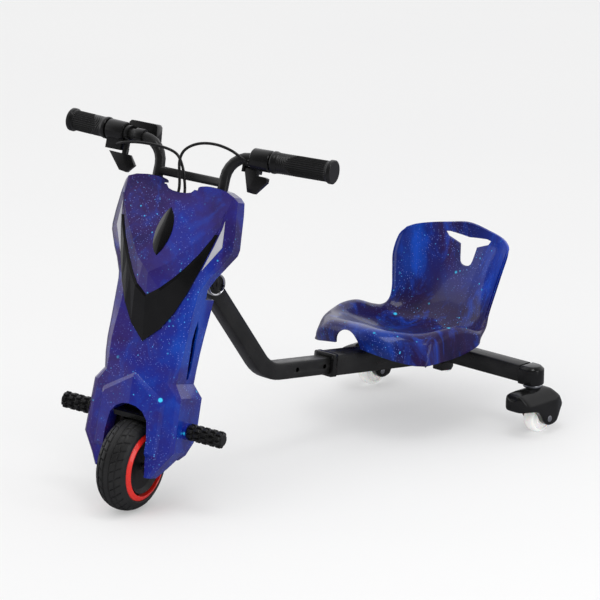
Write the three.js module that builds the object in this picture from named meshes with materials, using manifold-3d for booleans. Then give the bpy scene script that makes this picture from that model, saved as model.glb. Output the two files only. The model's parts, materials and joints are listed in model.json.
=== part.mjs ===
// A drift trike for a rider who sits low between two swivelling casters.
// A faired front fork with a motor wheel steers it, a bent box tube runs back,
// and a sleeve with the rear cross tube and the seat slides on that tube.
// Lengths are millimetres. Z is up, the trike faces -Y, and +X is the rider's left.

import * as THREE from 'three';
import { mergeVertices } from 'three/addons/utils/BufferGeometryUtils.js';
import Module from 'manifold-3d';

const wasm = await Module();
wasm.setup();

const degree = Math.PI / 180;

// Driving dimensions
const wheelRadius = 82.5;
const wheelWidth = 60;
const rakeAngle = 15 * degree;
const steerAngle = 16 * degree;
const rearReach = 798;
const crossHeight = 116;
const beamSlope = 7 * degree;
const bendReach = 306;
const bendRadius = 72;
const tubeSide = 32;
const tubeWall = 2;
const tubeCorner = 4;
const headJointHeight = 398;
const casterSpacing = 434;
const fairingWidth = 244;
const fairingTop = 494;
const fairingFoot = 16;
const seatWidth = 288;
const seatDepth = 343;
const seatHeight = 204;
const seatSetback = 280;
const seatStand = 6.82;
const barReach = 266;
const barHeight = 556;

// Clearances and cuts
const seatGap = 0.3;
const runGap = 0.06;
const overrun = 12;
const mergeDistance = 0.0001;

// Facet counts
const roundSides = 24;
const smallSides = 16;
const cordSides = 8;

const up = new THREE.Vector3(0, 0, 1);
const xAxis = new THREE.Vector3(1, 0, 0);
const v3 = (x, y, z) => new THREE.Vector3(x, y, z);

// Solids

// A closed geometry becomes a solid once its shared corners are merged
function solidOf(geometry) {
  const bare = geometry.clone();
  Object.keys(bare.attributes).forEach((name) => {
    if (name !== 'position') bare.deleteAttribute(name);
  });
  const merged = mergeVertices(bare, mergeDistance);
  const kept = [];
  const corner = merged.index.array;
  for (let i = 0; i < corner.length; i += 3) {
    const [a, b, c] = [corner[i], corner[i + 1], corner[i + 2]];
    if (a !== b && b !== c && c !== a) kept.push(a, b, c);
  }
  const vertProperties = Float32Array.from(merged.attributes.position.array);
  const triVerts = Uint32Array.from(kept);
  return new wasm.Manifold(new wasm.Mesh({ numProp: 3, vertProperties, triVerts }));
}

function geometryOf(solid) {
  const mesh = solid.getMesh();
  const geometry = new THREE.BufferGeometry();
  geometry.setAttribute('position', new THREE.BufferAttribute(Float32Array.from(mesh.vertProperties), 3));
  geometry.setIndex(new THREE.BufferAttribute(Uint32Array.from(mesh.triVerts), 1));
  geometry.computeVertexNormals();
  return geometry;
}

const join = (first, ...rest) => rest.reduce((sum, next) => sum.add(next), first);
const cut = (first, ...rest) => rest.reduce((left, next) => left.subtract(next), first);

// A box from its lowest to its highest corner
function block(x0, x1, y0, y1, z0, z1) {
  const geometry = new THREE.BoxGeometry(x1 - x0, y1 - y0, z1 - z0);
  geometry.translate((x0 + x1) / 2, (y0 + y1) / 2, (z0 + z1) / 2);
  return solidOf(geometry);
}

// A round bar or cone between two points
function rod(from, to, radius, sides = roundSides, endRadius = radius) {
  const along = to.clone().sub(from);
  const geometry = new THREE.CylinderGeometry(endRadius, radius, along.length(), sides);
  geometry.applyQuaternion(new THREE.Quaternion().setFromUnitVectors(v3(0, 1, 0), along.clone().normalize()));
  const middle = from.clone().add(to).divideScalar(2);
  geometry.translate(middle.x, middle.y, middle.z);
  return solidOf(geometry);
}

// A profile of [radius, distance] pairs turned about a line through a point
function turned(profile, origin, axis, sides = roundSides) {
  const points = profile.map(([radius, distance]) => new THREE.Vector2(radius, distance));
  const geometry = new THREE.LatheGeometry(points, sides);
  geometry.applyQuaternion(new THREE.Quaternion().setFromUnitVectors(v3(0, 1, 0), axis));
  geometry.translate(origin.x, origin.y, origin.z);
  return outward(geometry);
}

// The solid of a geometry, turned right side out where its faces point in
function outward(geometry) {
  if (signedVolume(geometry) < 0) flip(geometry);
  return solidOf(geometry);
}

function signedVolume(geometry) {
  const at = geometry.attributes.position;
  const index = geometry.index.array;
  const [a, b, c] = [v3(), v3(), v3()];
  let sum = 0;
  for (let i = 0; i < index.length; i += 3) {
    a.fromBufferAttribute(at, index[i]);
    b.fromBufferAttribute(at, index[i + 1]);
    c.fromBufferAttribute(at, index[i + 2]);
    sum += a.dot(b.cross(c));
  }
  return sum;
}

function flip(geometry) {
  const index = geometry.index.array;
  for (let i = 0; i < index.length; i += 3) {
    [index[i], index[i + 1]] = [index[i + 1], index[i]];
  }
}

// An outline carried along one axis. Outlines are [x, z] pairs along y, [y, z] along x, [x, y] along z
const carried = {
  x: new THREE.Matrix4().makeBasis(v3(0, 1, 0), v3(0, 0, 1), v3(1, 0, 0)),
  y: new THREE.Matrix4().makeBasis(v3(1, 0, 0), v3(0, 0, 1), v3(0, -1, 0)),
  z: new THREE.Matrix4(),
};

function plate(outline, axis, low, high) {
  const shape = new THREE.Shape(outline.map(([a, b]) => new THREE.Vector2(a, b)));
  const geometry = new THREE.ExtrudeGeometry(shape, { depth: high - low, bevelEnabled: false });
  geometry.applyMatrix4(carried[axis]);
  const start = axis === 'y' ? high : low;
  geometry.translate(axis === 'x' ? start : 0, axis === 'y' ? start : 0, axis === 'z' ? start : 0);
  return solidOf(geometry);
}

// A skin over rings of points, closed at both ends
function loft(rings) {
  const count = rings[0].length;
  const points = rings.flat();
  const index = [];
  for (let i = 0; i + 1 < rings.length; i += 1) {
    for (let j = 0; j < count; j += 1) {
      const k = (j + 1) % count;
      const [a, b, c, d] = [i * count + j, i * count + k, (i + 1) * count + k, (i + 1) * count + j];
      index.push(a, b, c, a, c, d);
    }
  }
  endFaces(rings[0]).forEach(([a, b, c]) => index.push(a, c, b));
  const last = (rings.length - 1) * count;
  endFaces(rings[rings.length - 1]).forEach(([a, b, c]) => index.push(last + a, last + b, last + c));
  const geometry = new THREE.BufferGeometry().setFromPoints(points);
  geometry.setIndex(index);
  return outward(geometry);
}

// Triangles over one ring, wound the way the ring runs
function endFaces(ring) {
  const normal = ring.reduce((sum, point, i) => {
    return sum.add(point.clone().cross(ring[(i + 1) % ring.length]));
  }, v3(0, 0, 0)).normalize();
  const side = Math.abs(normal.z) < 0.9 ? up.clone().cross(normal).normalize() : xAxis.clone();
  const rise = normal.clone().cross(side);
  const flat = ring.map((point) => new THREE.Vector2(point.dot(side), point.dot(rise)));
  return THREE.ShapeUtils.triangulateShape(flat, []).map(([a, b, c]) => {
    const turn = flat[b].clone().sub(flat[a]).cross(flat[c].clone().sub(flat[a]));
    return turn > 0 ? [a, b, c] : [a, c, b];
  });
}

// A round tube along a smooth curve
function tubeAlong(curve, radius, steps, sides) {
  const circle = new THREE.Shape();
  circle.absarc(0, 0, radius, 0, 2 * Math.PI);
  const ring = new THREE.Shape(circle.getSpacedPoints(sides).slice(0, sides));
  const geometry = new THREE.ExtrudeGeometry(ring, { steps, extrudePath: curve, bevelEnabled: false });
  return solidOf(geometry);
}

// Half an outline of [across, along] pairs from the middle out, completed by its mirror image
function mirrored(half) {
  const other = half.filter(([across]) => across > 0).map(([across, along]) => [-across, along]);
  return [...half, ...other.reverse()];
}

// An outline drawn in by a distance, corner by corner
function drawnIn(outline, distance) {
  const area = THREE.ShapeUtils.area(outline.map(([a, b]) => new THREE.Vector2(a, b)));
  const turn = Math.sign(area);
  return outline.map((point, i) => {
    const here = new THREE.Vector2(...point);
    const before = new THREE.Vector2(...outline[(i + outline.length - 1) % outline.length]);
    const after = new THREE.Vector2(...outline[(i + 1) % outline.length]);
    const one = here.clone().sub(before).normalize();
    const two = after.clone().sub(here).normalize();
    const normal = new THREE.Vector2(-one.y - two.y, one.x + two.x);
    const half = normal.length() / 2;
    normal.normalize().multiplyScalar((turn * distance) / Math.max(half, 0.5));
    return [here.x + normal.x, here.y + normal.y];
  });
}

// Regular polygon outline round a centre
function polygon(sides, radius, across = 0, along = 0, start = 0) {
  return Array.from({ length: sides }, (_, i) => {
    const angle = start + (2 * Math.PI * i) / sides;
    return [across + radius * Math.cos(angle), along + radius * Math.sin(angle)];
  });
}

// A path of straight runs with round bends, as points with their directions
function bentPath(corners, radii, steps) {
  const path = [];
  const push = (point, along) => path.push({ point, along });
  corners.forEach((corner, i) => {
    if (i === 0) {
      push(corner, corners[1].clone().sub(corner).normalize());
      return;
    }
    const before = corner.clone().sub(corners[i - 1]).normalize();
    if (i === corners.length - 1) {
      push(corner, before);
      return;
    }
    const after = corners[i + 1].clone().sub(corner).normalize();
    const turn = before.angleTo(after);
    const reach = radii[i - 1] * Math.tan(turn / 2);
    const start = corner.clone().addScaledVector(before, -reach);
    const inward = after.clone().sub(before).normalize();
    const middle = corner.clone().addScaledVector(inward, radii[i - 1] / Math.cos(turn / 2));
    const spin = before.clone().cross(after).normalize();
    for (let k = 0; k <= steps; k += 1) {
      const angle = (turn * k) / steps;
      const arm = start.clone().sub(middle).applyAxisAngle(spin, angle);
      push(middle.clone().add(arm), before.clone().applyAxisAngle(spin, angle));
    }
  });
  return path;
}

// An outline of [side, rise] pairs swept along a path, its side direction kept near a given one
function swept(outline, path, aside) {
  let side = aside.clone();
  const rings = path.map(({ point, along }) => {
    side = side.clone().addScaledVector(along, -side.dot(along)).normalize();
    const rise = side.clone().cross(along);
    return outline.map(([s, r]) => point.clone().addScaledVector(side, s).addScaledVector(rise, r));
  });
  return loft(rings);
}

// A box with rounded corners, as [side, rise] pairs
function roundedBox(wide, high, radius, steps) {
  return [[1, 1], [-1, 1], [-1, -1], [1, -1]].flatMap(([a, b], i) => {
    return Array.from({ length: steps + 1 }, (_, k) => {
      const angle = (Math.PI / 2) * (i + k / steps);
      return [
        a * (wide / 2 - radius) + radius * Math.cos(angle),
        b * (high / 2 - radius) + radius * Math.sin(angle),
      ];
    });
  });
}

// A body between two grids of points with the same rows and columns
function sheetBody(top, bottom) {
  const rows = top.length;
  const columns = top[0].length;
  const points = [...top.flat(), ...bottom.flat()];
  const at = (i, j) => i * columns + j;
  const under = (i, j) => rows * columns + at(i, j);
  const index = [];
  const quad = (a, b, c, d) => index.push(a, b, c, a, c, d);
  for (let i = 0; i + 1 < rows; i += 1) {
    for (let j = 0; j + 1 < columns; j += 1) {
      quad(at(i, j), at(i, j + 1), at(i + 1, j + 1), at(i + 1, j));
      quad(under(i, j), under(i + 1, j), under(i + 1, j + 1), under(i, j + 1));
    }
  }
  for (let j = 0; j + 1 < columns; j += 1) {
    quad(at(0, j + 1), at(0, j), under(0, j), under(0, j + 1));
    quad(at(rows - 1, j), at(rows - 1, j + 1), under(rows - 1, j + 1), under(rows - 1, j));
  }
  for (let i = 0; i + 1 < rows; i += 1) {
    quad(at(i, 0), at(i + 1, 0), under(i + 1, 0), under(i, 0));
    quad(at(i + 1, columns - 1), at(i, columns - 1), under(i, columns - 1), under(i + 1, columns - 1));
  }
  const geometry = new THREE.BufferGeometry().setFromPoints(points);
  geometry.setIndex(index);
  return outward(geometry);
}

// The grid moved along its own normals, which point the way up cross forward gives
function offsetGrid(grid, distance) {
  const clamp = (value, limit) => Math.min(Math.max(value, 0), limit);
  return grid.map((row, i) => row.map((point, j) => {
    const along = grid[clamp(i + 1, grid.length - 1)][j].clone().sub(grid[clamp(i - 1, grid.length - 1)][j]);
    const over = row[clamp(j + 1, row.length - 1)].clone().sub(row[clamp(j - 1, row.length - 1)]);
    return point.clone().addScaledVector(over.cross(along).normalize(), distance);
  }));
}

// Fairing sizes
const fairingDepth = 100;
const fairingWall = 3.5;
const fairingChamfer = 6;
const panelTopShare = 0.124;
const panelSlopeShare = 0.377;
const trimDepth = 3.5;
const trimLift = 1.5;
const trimTopShare = 0.845;
const rearTaper = 10;
const rearNarrow = 8;
const chevronShare = -0.605;
const chevronLeanShare = 0.11;
const chevronRakeShare = 0.05;
const chevronLift = 6;
const slotInnerShare = 0.42;
const notchShare = 0.28;
const notchDepthShare = -0.18;
const notchLowShare = 0.86;
const archWallShare = -0.25;
const lensStand = 1;
const lensDepth = 9;

// Fork and front wheel sizes
const forkOffset = 12;
const wheelSides = 40;
const tyreHalf = wheelWidth / 2;
const rimRadius = 60.5;
const rimEdge = 28.5;
const rimLip = 33;
const rimInner = 47.5;
const hubHalf = 29;
const hubDish = 7;
const axleRadius = 6;
const axleHalf = 53;
const legInner = 35;
const legOuter = 41;
const legWidth = 34;
const legFoot = 17;
const crownLow = 88;
const crownTop = 101;
const columnRadius = 14;
const steererRadius = 12.7;
const steererTop = 437;
const nutRadius = 10;
const nutLength = 8;
const wellGap = 4;

// Head tube sizes along the steering axis
const headRadius = 21;
const headBore = 17;
const headLow = 345;
const headTop = 416;
const cupRadius = 22.5;
const cupHeight = 6;
const columnTop = headLow - cupHeight - seatGap;
const cupSleeve = 10;

// Peg sizes
const pegRise = 74;
const pegSet = -2;
const pegEnd = 164;
const pegCoreRadius = 9;
const pegRubberRadius = 14.7;
const pegRubberWaist = 12.6;
const pegRingCount = 5;
const pegBossRadius = 15;
const pegBossRoot = 80;
const pegBossEnd = 95;

// Battery and controller sizes, both strapped to the column
const batteryHalf = 52;
const batteryLow = 128;
const batteryTop = 236;
const batteryFront = -38;
const controllerHalf = 32;
const controllerTop = 322;
const controllerFront = -34;

// Handlebar sizes
const barRadius = 9.5;
const crossbarRadius = 7.6;
const barClampHeight = 448;
const barSet = 8.5;
const uprightSpacing = 66;
const barLowBend = 28;
const barShoulder = 550;
const gripBack = 20;
const crossbarHeight = 500.5;
const stemHalf = 21;
const stemLow = headTop + cupHeight + seatGap;
const stemTop = 462;
const stemFront = -17;
const stemCapFront = -6;
const stemBack = 24;
const gripRadius = 18;
const gripFlange = 20.5;
const gripFlangeWidth = 6;
const gripCollar = 8;
const leftGripStart = 151;
const rightGripStart = 185;

// Frame sizes
const headSink = 8;
const sleeveWide = 48;
const sleeveRise = 40;
const sleeveWall = 2;
const sleeveLift = 1.6;
const sleeveStartShare = 0.317;
const beamEndShare = 0.7093;
const beamStand = 2.8;
const sleeveStart = bendReach + sleeveStartShare * (rearReach - bendReach);
const beamEnd = bendReach + beamEndShare * (rearReach - bendReach);
const crossSide = 34;
const crossHalf = 197;
const holeRadius = 4.5;
const holeSet = 70.8;
const firstHole = bendReach + holeSet;
const holePitch = 70;

// Peak counts of facets along bends
const bendSteps = 6;
const rimStep = 8;
const pegSpigotRadius = 5;
const pegCap = 4;

// Sizes of the controls
const barTopSet = 12;
const barTopBend = 42;
const crossbarSetShare = 0.3;
const gripCap = 4;
const throttleInner = 146;
const throttleOuter = 183;
const throttleRadius = 18;
const throttleBodyHalf = 9;
const throttleInset = 3;
const throttleLow = 520;
const paddleInner = 137;
const paddleOuter = 145.4;
const paddleRing = 14;
const paddleClear = 37.5;
const paddleWidth = 46;
const paddleDrop = 67;
const paddleHalf = 4;
const displayInner = 95;
const displayOuter = 157;
const displayLow = 539.5;
const displayTop = 575.5;
const displayFront = 34.5;
const displayBack = 52;
const displayCorner = 4;
const windowStand = 1.5;
const clipInner = 108;
const clipOuter = 124;
const clipRadius = 13;
const perchInner = 112;
const perchOuter = 148;
const perchRadius = 19;
const leverInner = 101;
const leverOuter = 126;
const leverPivot = 532;
const leverBarrel = 5;
const leverPinRadius = 2.4;
const earWidth = 4;
const earHalf = 7;
const triggerWidth = 46;
const triggerDrop = 39;
const triggerHalf = 5;
const ferruleHeight = 545;
const ferruleSet = 4;
const ferruleLength = 4;
const ferruleRadius = 4;
const cableRadius = 2.5;

// More frame sizes
const holeCount = 3;
const sleeveStopSet = 53;
const sleeveStop = rearReach - sleeveStopSet;
const switchReach = 118;
const switchRadius = 20;
const switchDepth = 9;
const bezelWidth = 4;
const bezelStand = 2;
const keyHalf = 1;
const collarLead = 3;
const collarLength = 11.5;
const collarStart = sleeveStart - collarLead;
const collarEnd = collarStart + collarLength;
const collarWall = 1.2;
const bushLength = 41;
const sliderLength = 30;
const bushEnd = collarStart + bushLength;
const plugStart = beamEnd - sliderLength;
const capStand = 4;
const capBevel = 6;
const capLift = 0.6;
const plugLength = 14;
const stemReach = 128;
const stemFoot = 66;
const casterStemRadius = 5.5;
const flangeRadius = 18;
const flangeHeight = 5;
const rollerSet = 1;
const rollerReach = rearReach - rollerSet;
const rollerHeight = 87;
const rollerRadius = 11;
const rollerHalf = 8;
const rollerPinRadius = 3;
const runClear = 0.8;
const bracketWall = 3;
const bracketShare = 2.4;

// Seat sizes
const seatFront = rearReach - seatSetback;
const seatLow = crossHeight + beamStand + seatSetback * Math.tan(beamSlope) + seatStand;
const seatWall = 4;
const notchTopShare = 0.262;
const notchHalf = 32;
const notchReach = 48;
const boltSpacing = 30;
const boltShares = [[0.3557, 0.156], [0.5306, 0.077]];
const bossRadius = 8;
const bossDepth = 12;
const bossCover = 2.5;
const boltSink = 2;
const boltRadius = 3;
const boltHeadRadius = 6;
const boltHeadHeight = 3.5;
const mountHalf = 42;
const mountFrontShare = 0.2682;
const mountBackShare = 0.6064;
const mountFront = seatFront + mountFrontShare * seatDepth;
const mountBack = seatFront + mountBackShare * seatDepth;

// Caster sizes
const casterTrail = 17;
const hoodSteps = 12;
const casterRadius = 31;
const casterHalf = 12;
const casterAxleRadius = 4;
const casterHeadRadius = 6;
const axleStand = 2;
const hoodReach = 60;
const hoodTop = 89;
const hoodHalf = 28;
const hoodNose = 32;
const wellClear = 2.5;

// Steps along the cables and stand of the flank lenses
const throttleCableSteps = 34;
const brakeCableSteps = 40;
const sideStand = 0.8;

// Fairing, in the steering frame with the wheel centre as origin

const fairingHalf = fairingWidth / 2;
const fairingRise = fairingTop + fairingFoot;
const across = (share) => share * fairingHalf;
const level = (share) => share * fairingRise - fairingFoot;
const depth = (share) => share * fairingDepth;
const panelDepth = (z) => -panelTopShare * fairingDepth - panelSlopeShare * (fairingTop - z);

// Height share, half width share, then depth shares: edge, face with its half width share,
// forward peak in the middle, and back
const fairingStations = [
  [0.000, 0.466, -0.41, -0.43, 0.400, 0.00, -0.18],
  [0.037, 0.560, -0.39, -0.42, 0.450, 0.01, -0.06],
  [0.102, 0.750, -0.37, -0.42, 0.620, 0.03, 0.01],
  [0.188, 0.735, -0.39, -0.44, 0.630, 0.05, 0.01],
  [0.287, 0.722, -0.41, -0.47, 0.620, 0.07, 0.00],
  [0.329, 0.595, -0.40, -0.49, 0.500, 0.06, -0.05],
  [0.380, 0.620, -0.42, -0.48, 0.510, 0.03, -0.11],
  [0.433, 0.635, -0.42, -0.48, 0.520, 0.01, -0.14],
  [0.492, 0.640, -0.40, -0.48, 0.500, 0.01, -0.17],
  [0.561, 0.645, -0.39, -0.46, 0.480, 0.01, -0.12],
  [0.631, 0.660, -0.36, -0.44, 0.500, 0.01, -0.03],
  [0.655, 0.685, -0.34, -0.42, 0.550, 0.01, -0.09],
  [0.698, 0.770, -0.31, -0.40, 0.630, 0.01, -0.04],
  [0.731, 0.865, -0.27, -0.385, 0.680, 0.01, -0.02],
  [0.785, 0.985, -0.21, -0.35, 0.730, 0.01, 0.08],
  [0.806, 1.000, -0.20, -0.34, 0.745, 0.01, 0.085],
  [0.855, 0.990, -0.19, -0.30, 0.790, 0.01, 0.07],
  [0.918, 0.955, -0.19, -0.275, 0.845, 0.01, 0.10],
  [0.943, 0.940, -0.18, -0.233, 0.850, 0.00, 0.10],
  [0.970, 0.930, -0.15, -0.185, 0.860, 0.00, 0.08],
  [1.024, 0.930, -0.10, -0.124, 0.860, 0.00, 0.05],
];

// Top edge with its notch, from the middle out
const crestShares = [
  [0.000, 0.956],
  [0.114, 0.958],
  [0.190, 0.963],
  [0.245, 0.979],
  [0.310, 0.989],
  [0.404, 0.994],
  [0.580, 0.994],
  [0.752, 0.988],
  [0.874, 0.976],
  [0.931, 0.962],
  [1.100, 0.920],
  [1.100, -0.100],
];

// Wheel arch as seen from the front, from the middle of its top out and down
const archShares = [
  [0.000, 0.234],
  [0.114, 0.230],
  [0.221, 0.217],
  [0.306, 0.191],
  [0.345, 0.129],
  [0.347, 0.055],
  [0.384, 0.000],
  [0.384, -0.100],
];

// One level section of the front shell, grown outward by a distance
function fairingRing([high, wide, edge, face, faceWide, peak, back], grown, rear) {
  const z = level(high);
  const w = across(wide) + grown;
  const half = [
    [w, rear ?? depth(back)],
    [w, depth(edge) + fairingChamfer / 2 - grown],
    [w - fairingChamfer, depth(edge) - fairingChamfer / 2 - grown],
    [across(faceWide) + grown / 2, depth(face) - grown],
  ];
  const left = half.map(([x, y]) => v3(x, y, z));
  const right = half.map(([x, y]) => v3(-x, y, z)).reverse();
  return [...left, v3(0, depth(face - peak) - grown, z), ...right];
}

const fairingCore = (grown, rear) => loft(fairingStations.map((row) => fairingRing(row, grown, rear)));
const crestOutline = (lower) => mirrored(crestShares.map(([a, h]) => [across(a), level(h) - lower]));
const archOutline = () => mirrored(archShares.map(([a, h]) => [across(a), level(h)]));

// Corners of the raised V from the bottom up: shares across and up for its face,
// for the foot of its skirt, and for the outer edge of the trim, the last two with a depth share
const panelCorners = [
  { face: [0.000, 0.680], skirt: [0.000, 0.603, -0.665], edge: [0.000, 0.447, -0.500] },
  { face: [0.131, 0.703], skirt: [0.178, 0.633, -0.650], edge: [0.240, 0.500, -0.495] },
  { face: [0.262, 0.726], skirt: [0.325, 0.672, -0.580], edge: [0.408, 0.562, -0.475] },
  { face: [0.388, 0.762], skirt: [0.460, 0.715, -0.505], edge: [0.530, 0.628, -0.450] },
  { face: [0.512, 0.800], skirt: [0.613, 0.773, -0.416], edge: [0.655, 0.716, -0.405] },
  { face: [0.665, 0.845], skirt: [0.722, 0.825, -0.348], edge: [0.757, 0.804, -0.344] },
  { face: [0.790, 0.889], skirt: [0.800, 0.872, -0.293], edge: [0.815, 0.866, -0.292] },
];
const panelTop = [
  { face: [0.855, 0.950], skirt: [0.862, 0.952, -0.19], edge: [0.862, 0.952, -0.17] },
  { face: [0.750, 1.030], skirt: [0.760, 1.032, -0.07], edge: [0.760, 1.032, -0.05] },
];

function panelRing(pick) {
  const half = [...panelCorners, ...panelTop].map(pick);
  const other = half.filter((point) => point.x > 0).map((point) => v3(-point.x, point.y, point.z));
  return [...half, ...other.reverse()];
}

// A corner moved out across and down by one distance, and forward by another
function cornerPoint([a, h, deep], out, forward) {
  const z = level(h);
  const y = deep === undefined ? panelDepth(z) : depth(deep);
  return v3(a > 0 ? across(a) + out : 0, y - forward, z - out);
}

// The raised panel with its skirt, and below it the ledge that carries the trim
function panelBlock(grown) {
  return loft([
    panelRing(({ face }) => cornerPoint(face, grown, grown)),
    panelRing(({ skirt }) => cornerPoint(skirt, grown, grown)),
    panelRing(({ skirt }) => cornerPoint(skirt, grown, grown - trimDepth)),
    panelRing(({ edge }) => cornerPoint(edge, grown, grown - trimDepth)),
    panelRing(({ edge }) => cornerPoint(edge, grown, -3 * trimDepth)),
  ]);
}

// The V from its skirt line over the ridge to its outer edge
function trimBlock() {
  return loft([
    panelRing(({ skirt }) => cornerPoint(skirt, -trimDepth, 0)),
    panelRing(({ skirt }) => cornerPoint(skirt, trimDepth, trimLift)),
    panelRing(({ edge }) => cornerPoint(edge, 0, trimLift)),
    panelRing(({ edge }) => cornerPoint(edge, 0, -3 * trimDepth)),
  ]);
}

// The V trim alone, lying on the ledge and ending below the horns
function frontTrim() {
  const above = block(-fairingHalf, fairingHalf, -fairingDepth, fairingDepth,
    level(trimTopShare), fairingTop + fairingFoot + overrun);
  return cut(trimBlock(), fairingCore(seatGap, undefined), panelBlock(seatGap), above);
}

// Half of the raised chevron over the arch, its face a plane that leans back across and down
const chevronFace = [[0.000, 0.326], [0.465, 0.256], [0.482, 0.246], [0.482, 0.080], [0.000, 0.080]];
const chevronFoot = [[0.000, 0.342], [0.510, 0.272], [0.535, 0.260], [0.535, 0.066], [0.000, 0.066]];

function chevronHalf(side) {
  const ring = (shares, sink) => shares.map(([a, h]) => {
    const lean = chevronLeanShare * across(a) + chevronRakeShare * (level(chevronFace[0][1]) - level(h));
    return v3(side * across(a), depth(chevronShare) + lean + sink, level(h));
  });
  const rings = [ring(chevronFace, 0), ring(chevronFoot, chevronLift), ring(chevronFoot, 3 * chevronLift)];
  return loft(rings);
}

const chevron = () => join(chevronHalf(1), chevronHalf(-1));

// Narrow lens opening on both flanks along the seam
const slotShares = [
  [-0.010, 0.345], [-0.020, 0.390], [-0.045, 0.440], [-0.060, 0.485], [-0.060, 0.520],
  [-0.120, 0.548], [-0.165, 0.520], [-0.195, 0.485], [-0.175, 0.440], [-0.130, 0.390], [-0.075, 0.345],
];

function flankSlots() {
  const outline = slotShares.map(([d, h]) => [depth(d), level(h)]);
  const inner = slotInnerShare * fairingHalf;
  const outer = fairingHalf + overrun;
  return join(plate(outline, 'x', inner, outer), plate(outline, 'x', -outer, -inner));
}

// Boss on each flank where a peg comes through
function pegBosses(radius) {
  const from = pegBossRoot;
  return join(
    rod(v3(from, pegSet, pegRise), v3(pegBossEnd, pegSet, pegRise), radius),
    rod(v3(-from, pegSet, pegRise), v3(-pegBossEnd, pegSet, pegRise), radius),
  );
}

function pegHoles() {
  const end = pegBossEnd + overrun;
  return rod(v3(-end, pegSet, pegRise), v3(end, pegSet, pegRise), pegCoreRadius + seatGap);
}

// Leaf outline of the lamp in the panel, from its lower tip round to the right
const leafShares = [
  [0.030, 0.740], [0.085, 0.765], [0.120, 0.795], [0.128, 0.825], [0.105, 0.855], [0.060, 0.880],
  [-0.027, 0.903], [-0.080, 0.880], [-0.115, 0.850], [-0.125, 0.820], [-0.105, 0.785], [-0.050, 0.757],
];

function leafLens(grown, depthBelow) {
  const outline = drawnIn(leafShares.map(([a, h]) => [across(a), level(h)]), -grown);
  const ring = (sink) => outline.map(([x, z]) => v3(x, panelDepth(z) + sink, z));
  return loft([ring(-lensStand), ring(depthBelow)]);
}

// Pale lens beside the trim on each flank
const sideShares = [[0.774, 0.806], [0.832, 0.868], [0.846, 0.895], [0.874, 0.806], [0.672, 0.718]];

const between = (from, to, share) => from + (to - from) * share;

// Depth of the shell's outer skin at a distance across and a height
function skinDepth(x, z) {
  const row = fairingStations.findIndex(([high]) => level(high) > z);
  const [low, high] = [fairingStations[row - 1], fairingStations[row]];
  const share = (z - level(low[0])) / (level(high[0]) - level(low[0]));
  const [, wide, edge, face, faceWide] = low.map((value, i) => between(value, high[i], share));
  const inner = across(faceWide);
  const outer = across(wide) - fairingChamfer;
  return between(depth(face), depth(edge) - fairingChamfer / 2, Math.max((x - inner) / (outer - inner), 0));
}

function sideLens(side, grown, stand, sink) {
  const outline = drawnIn(sideShares.map(([a, h]) => [across(a), level(h)]), -grown);
  const ring = (move) => outline.map(([x, z]) => v3(side * x, skinDepth(x, z) + move, z));
  return loft([ring(-stand), ring(sink)]);
}

function frontShell() {
  const behind = depth(0.4);
  const top = fairingTop + overrun;
  const body = join(fairingCore(0, undefined), panelBlock(0), chevron(), pegBosses(pegBossRadius))
    .intersect(plate(crestOutline(0), 'y', -fairingDepth, fairingDepth));
  const low = block(-fairingHalf, fairingHalf, -fairingDepth, fairingDepth, fairingWall - fairingFoot, top);
  const archWall = plate(drawnIn(archOutline(), -fairingWall), 'y', -fairingDepth, depth(archWallShare));
  const core = fairingCore(-fairingWall, behind);
  const hollow = join(core, panelBlock(-fairingWall).subtract(block(
    -fairingHalf, fairingHalf, -fairingDepth, fairingDepth, -fairingFoot, level(0.447),
  )))
    .intersect(plate(crestOutline(fairingWall), 'y', -fairingDepth, fairingDepth))
    .intersect(low)
    .subtract(archWall);
  const notch = across(notchShare);
  const mouth = block(-notch, notch, depth(notchDepthShare), behind, level(notchLowShare), top);
  const gate = uprightSpacing + barRadius + wellGap;
  const barGate = block(-gate, gate, barSet - barRadius - wellGap / 2, behind, level(notchLowShare), top);
  const arch = plate(archOutline(), 'y', -fairingDepth, fairingDepth);
  return cut(body, hollow, mouth, barGate, arch, flankSlots(), pegHoles(), leafLens(seatGap, lensDepth),
    sideLens(1, seatGap, fairingWall, lensDepth), sideLens(-1, seatGap, fairingWall, lensDepth));
}

// Height share, half width share at the seam, then depth shares at the seam and where the side bends in
const rearStations = [
  [0.070, 0.656, 0.01, 0.06],
  [0.090, 0.715, 0.01, 0.14],
  [0.135, 0.744, 0.01, 0.28],
  [0.188, 0.735, 0.01, 0.33],
  [0.287, 0.722, 0.00, 0.32],
  [0.329, 0.595, -0.05, 0.23],
  [0.380, 0.620, -0.11, 0.18],
  [0.433, 0.635, -0.14, 0.165],
  [0.492, 0.640, -0.17, 0.19],
  [0.561, 0.645, -0.12, 0.235],
  [0.620, 0.657, -0.044, 0.25],
];

function rearRing([high, wide, seam, bend], grown, front) {
  const z = level(high);
  const half = [
    [across(wide) + grown, front ?? depth(seam) + seatGap],
    [across(wide) + grown, depth(bend) + grown / 2],
    [across(wide) - rearNarrow + grown, depth(bend) + rearTaper + grown],
  ];
  const left = half.map(([x, y]) => v3(-x, y, z));
  const right = half.map(([x, y]) => v3(x, y, z)).reverse();
  return [...left, ...right];
}

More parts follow.
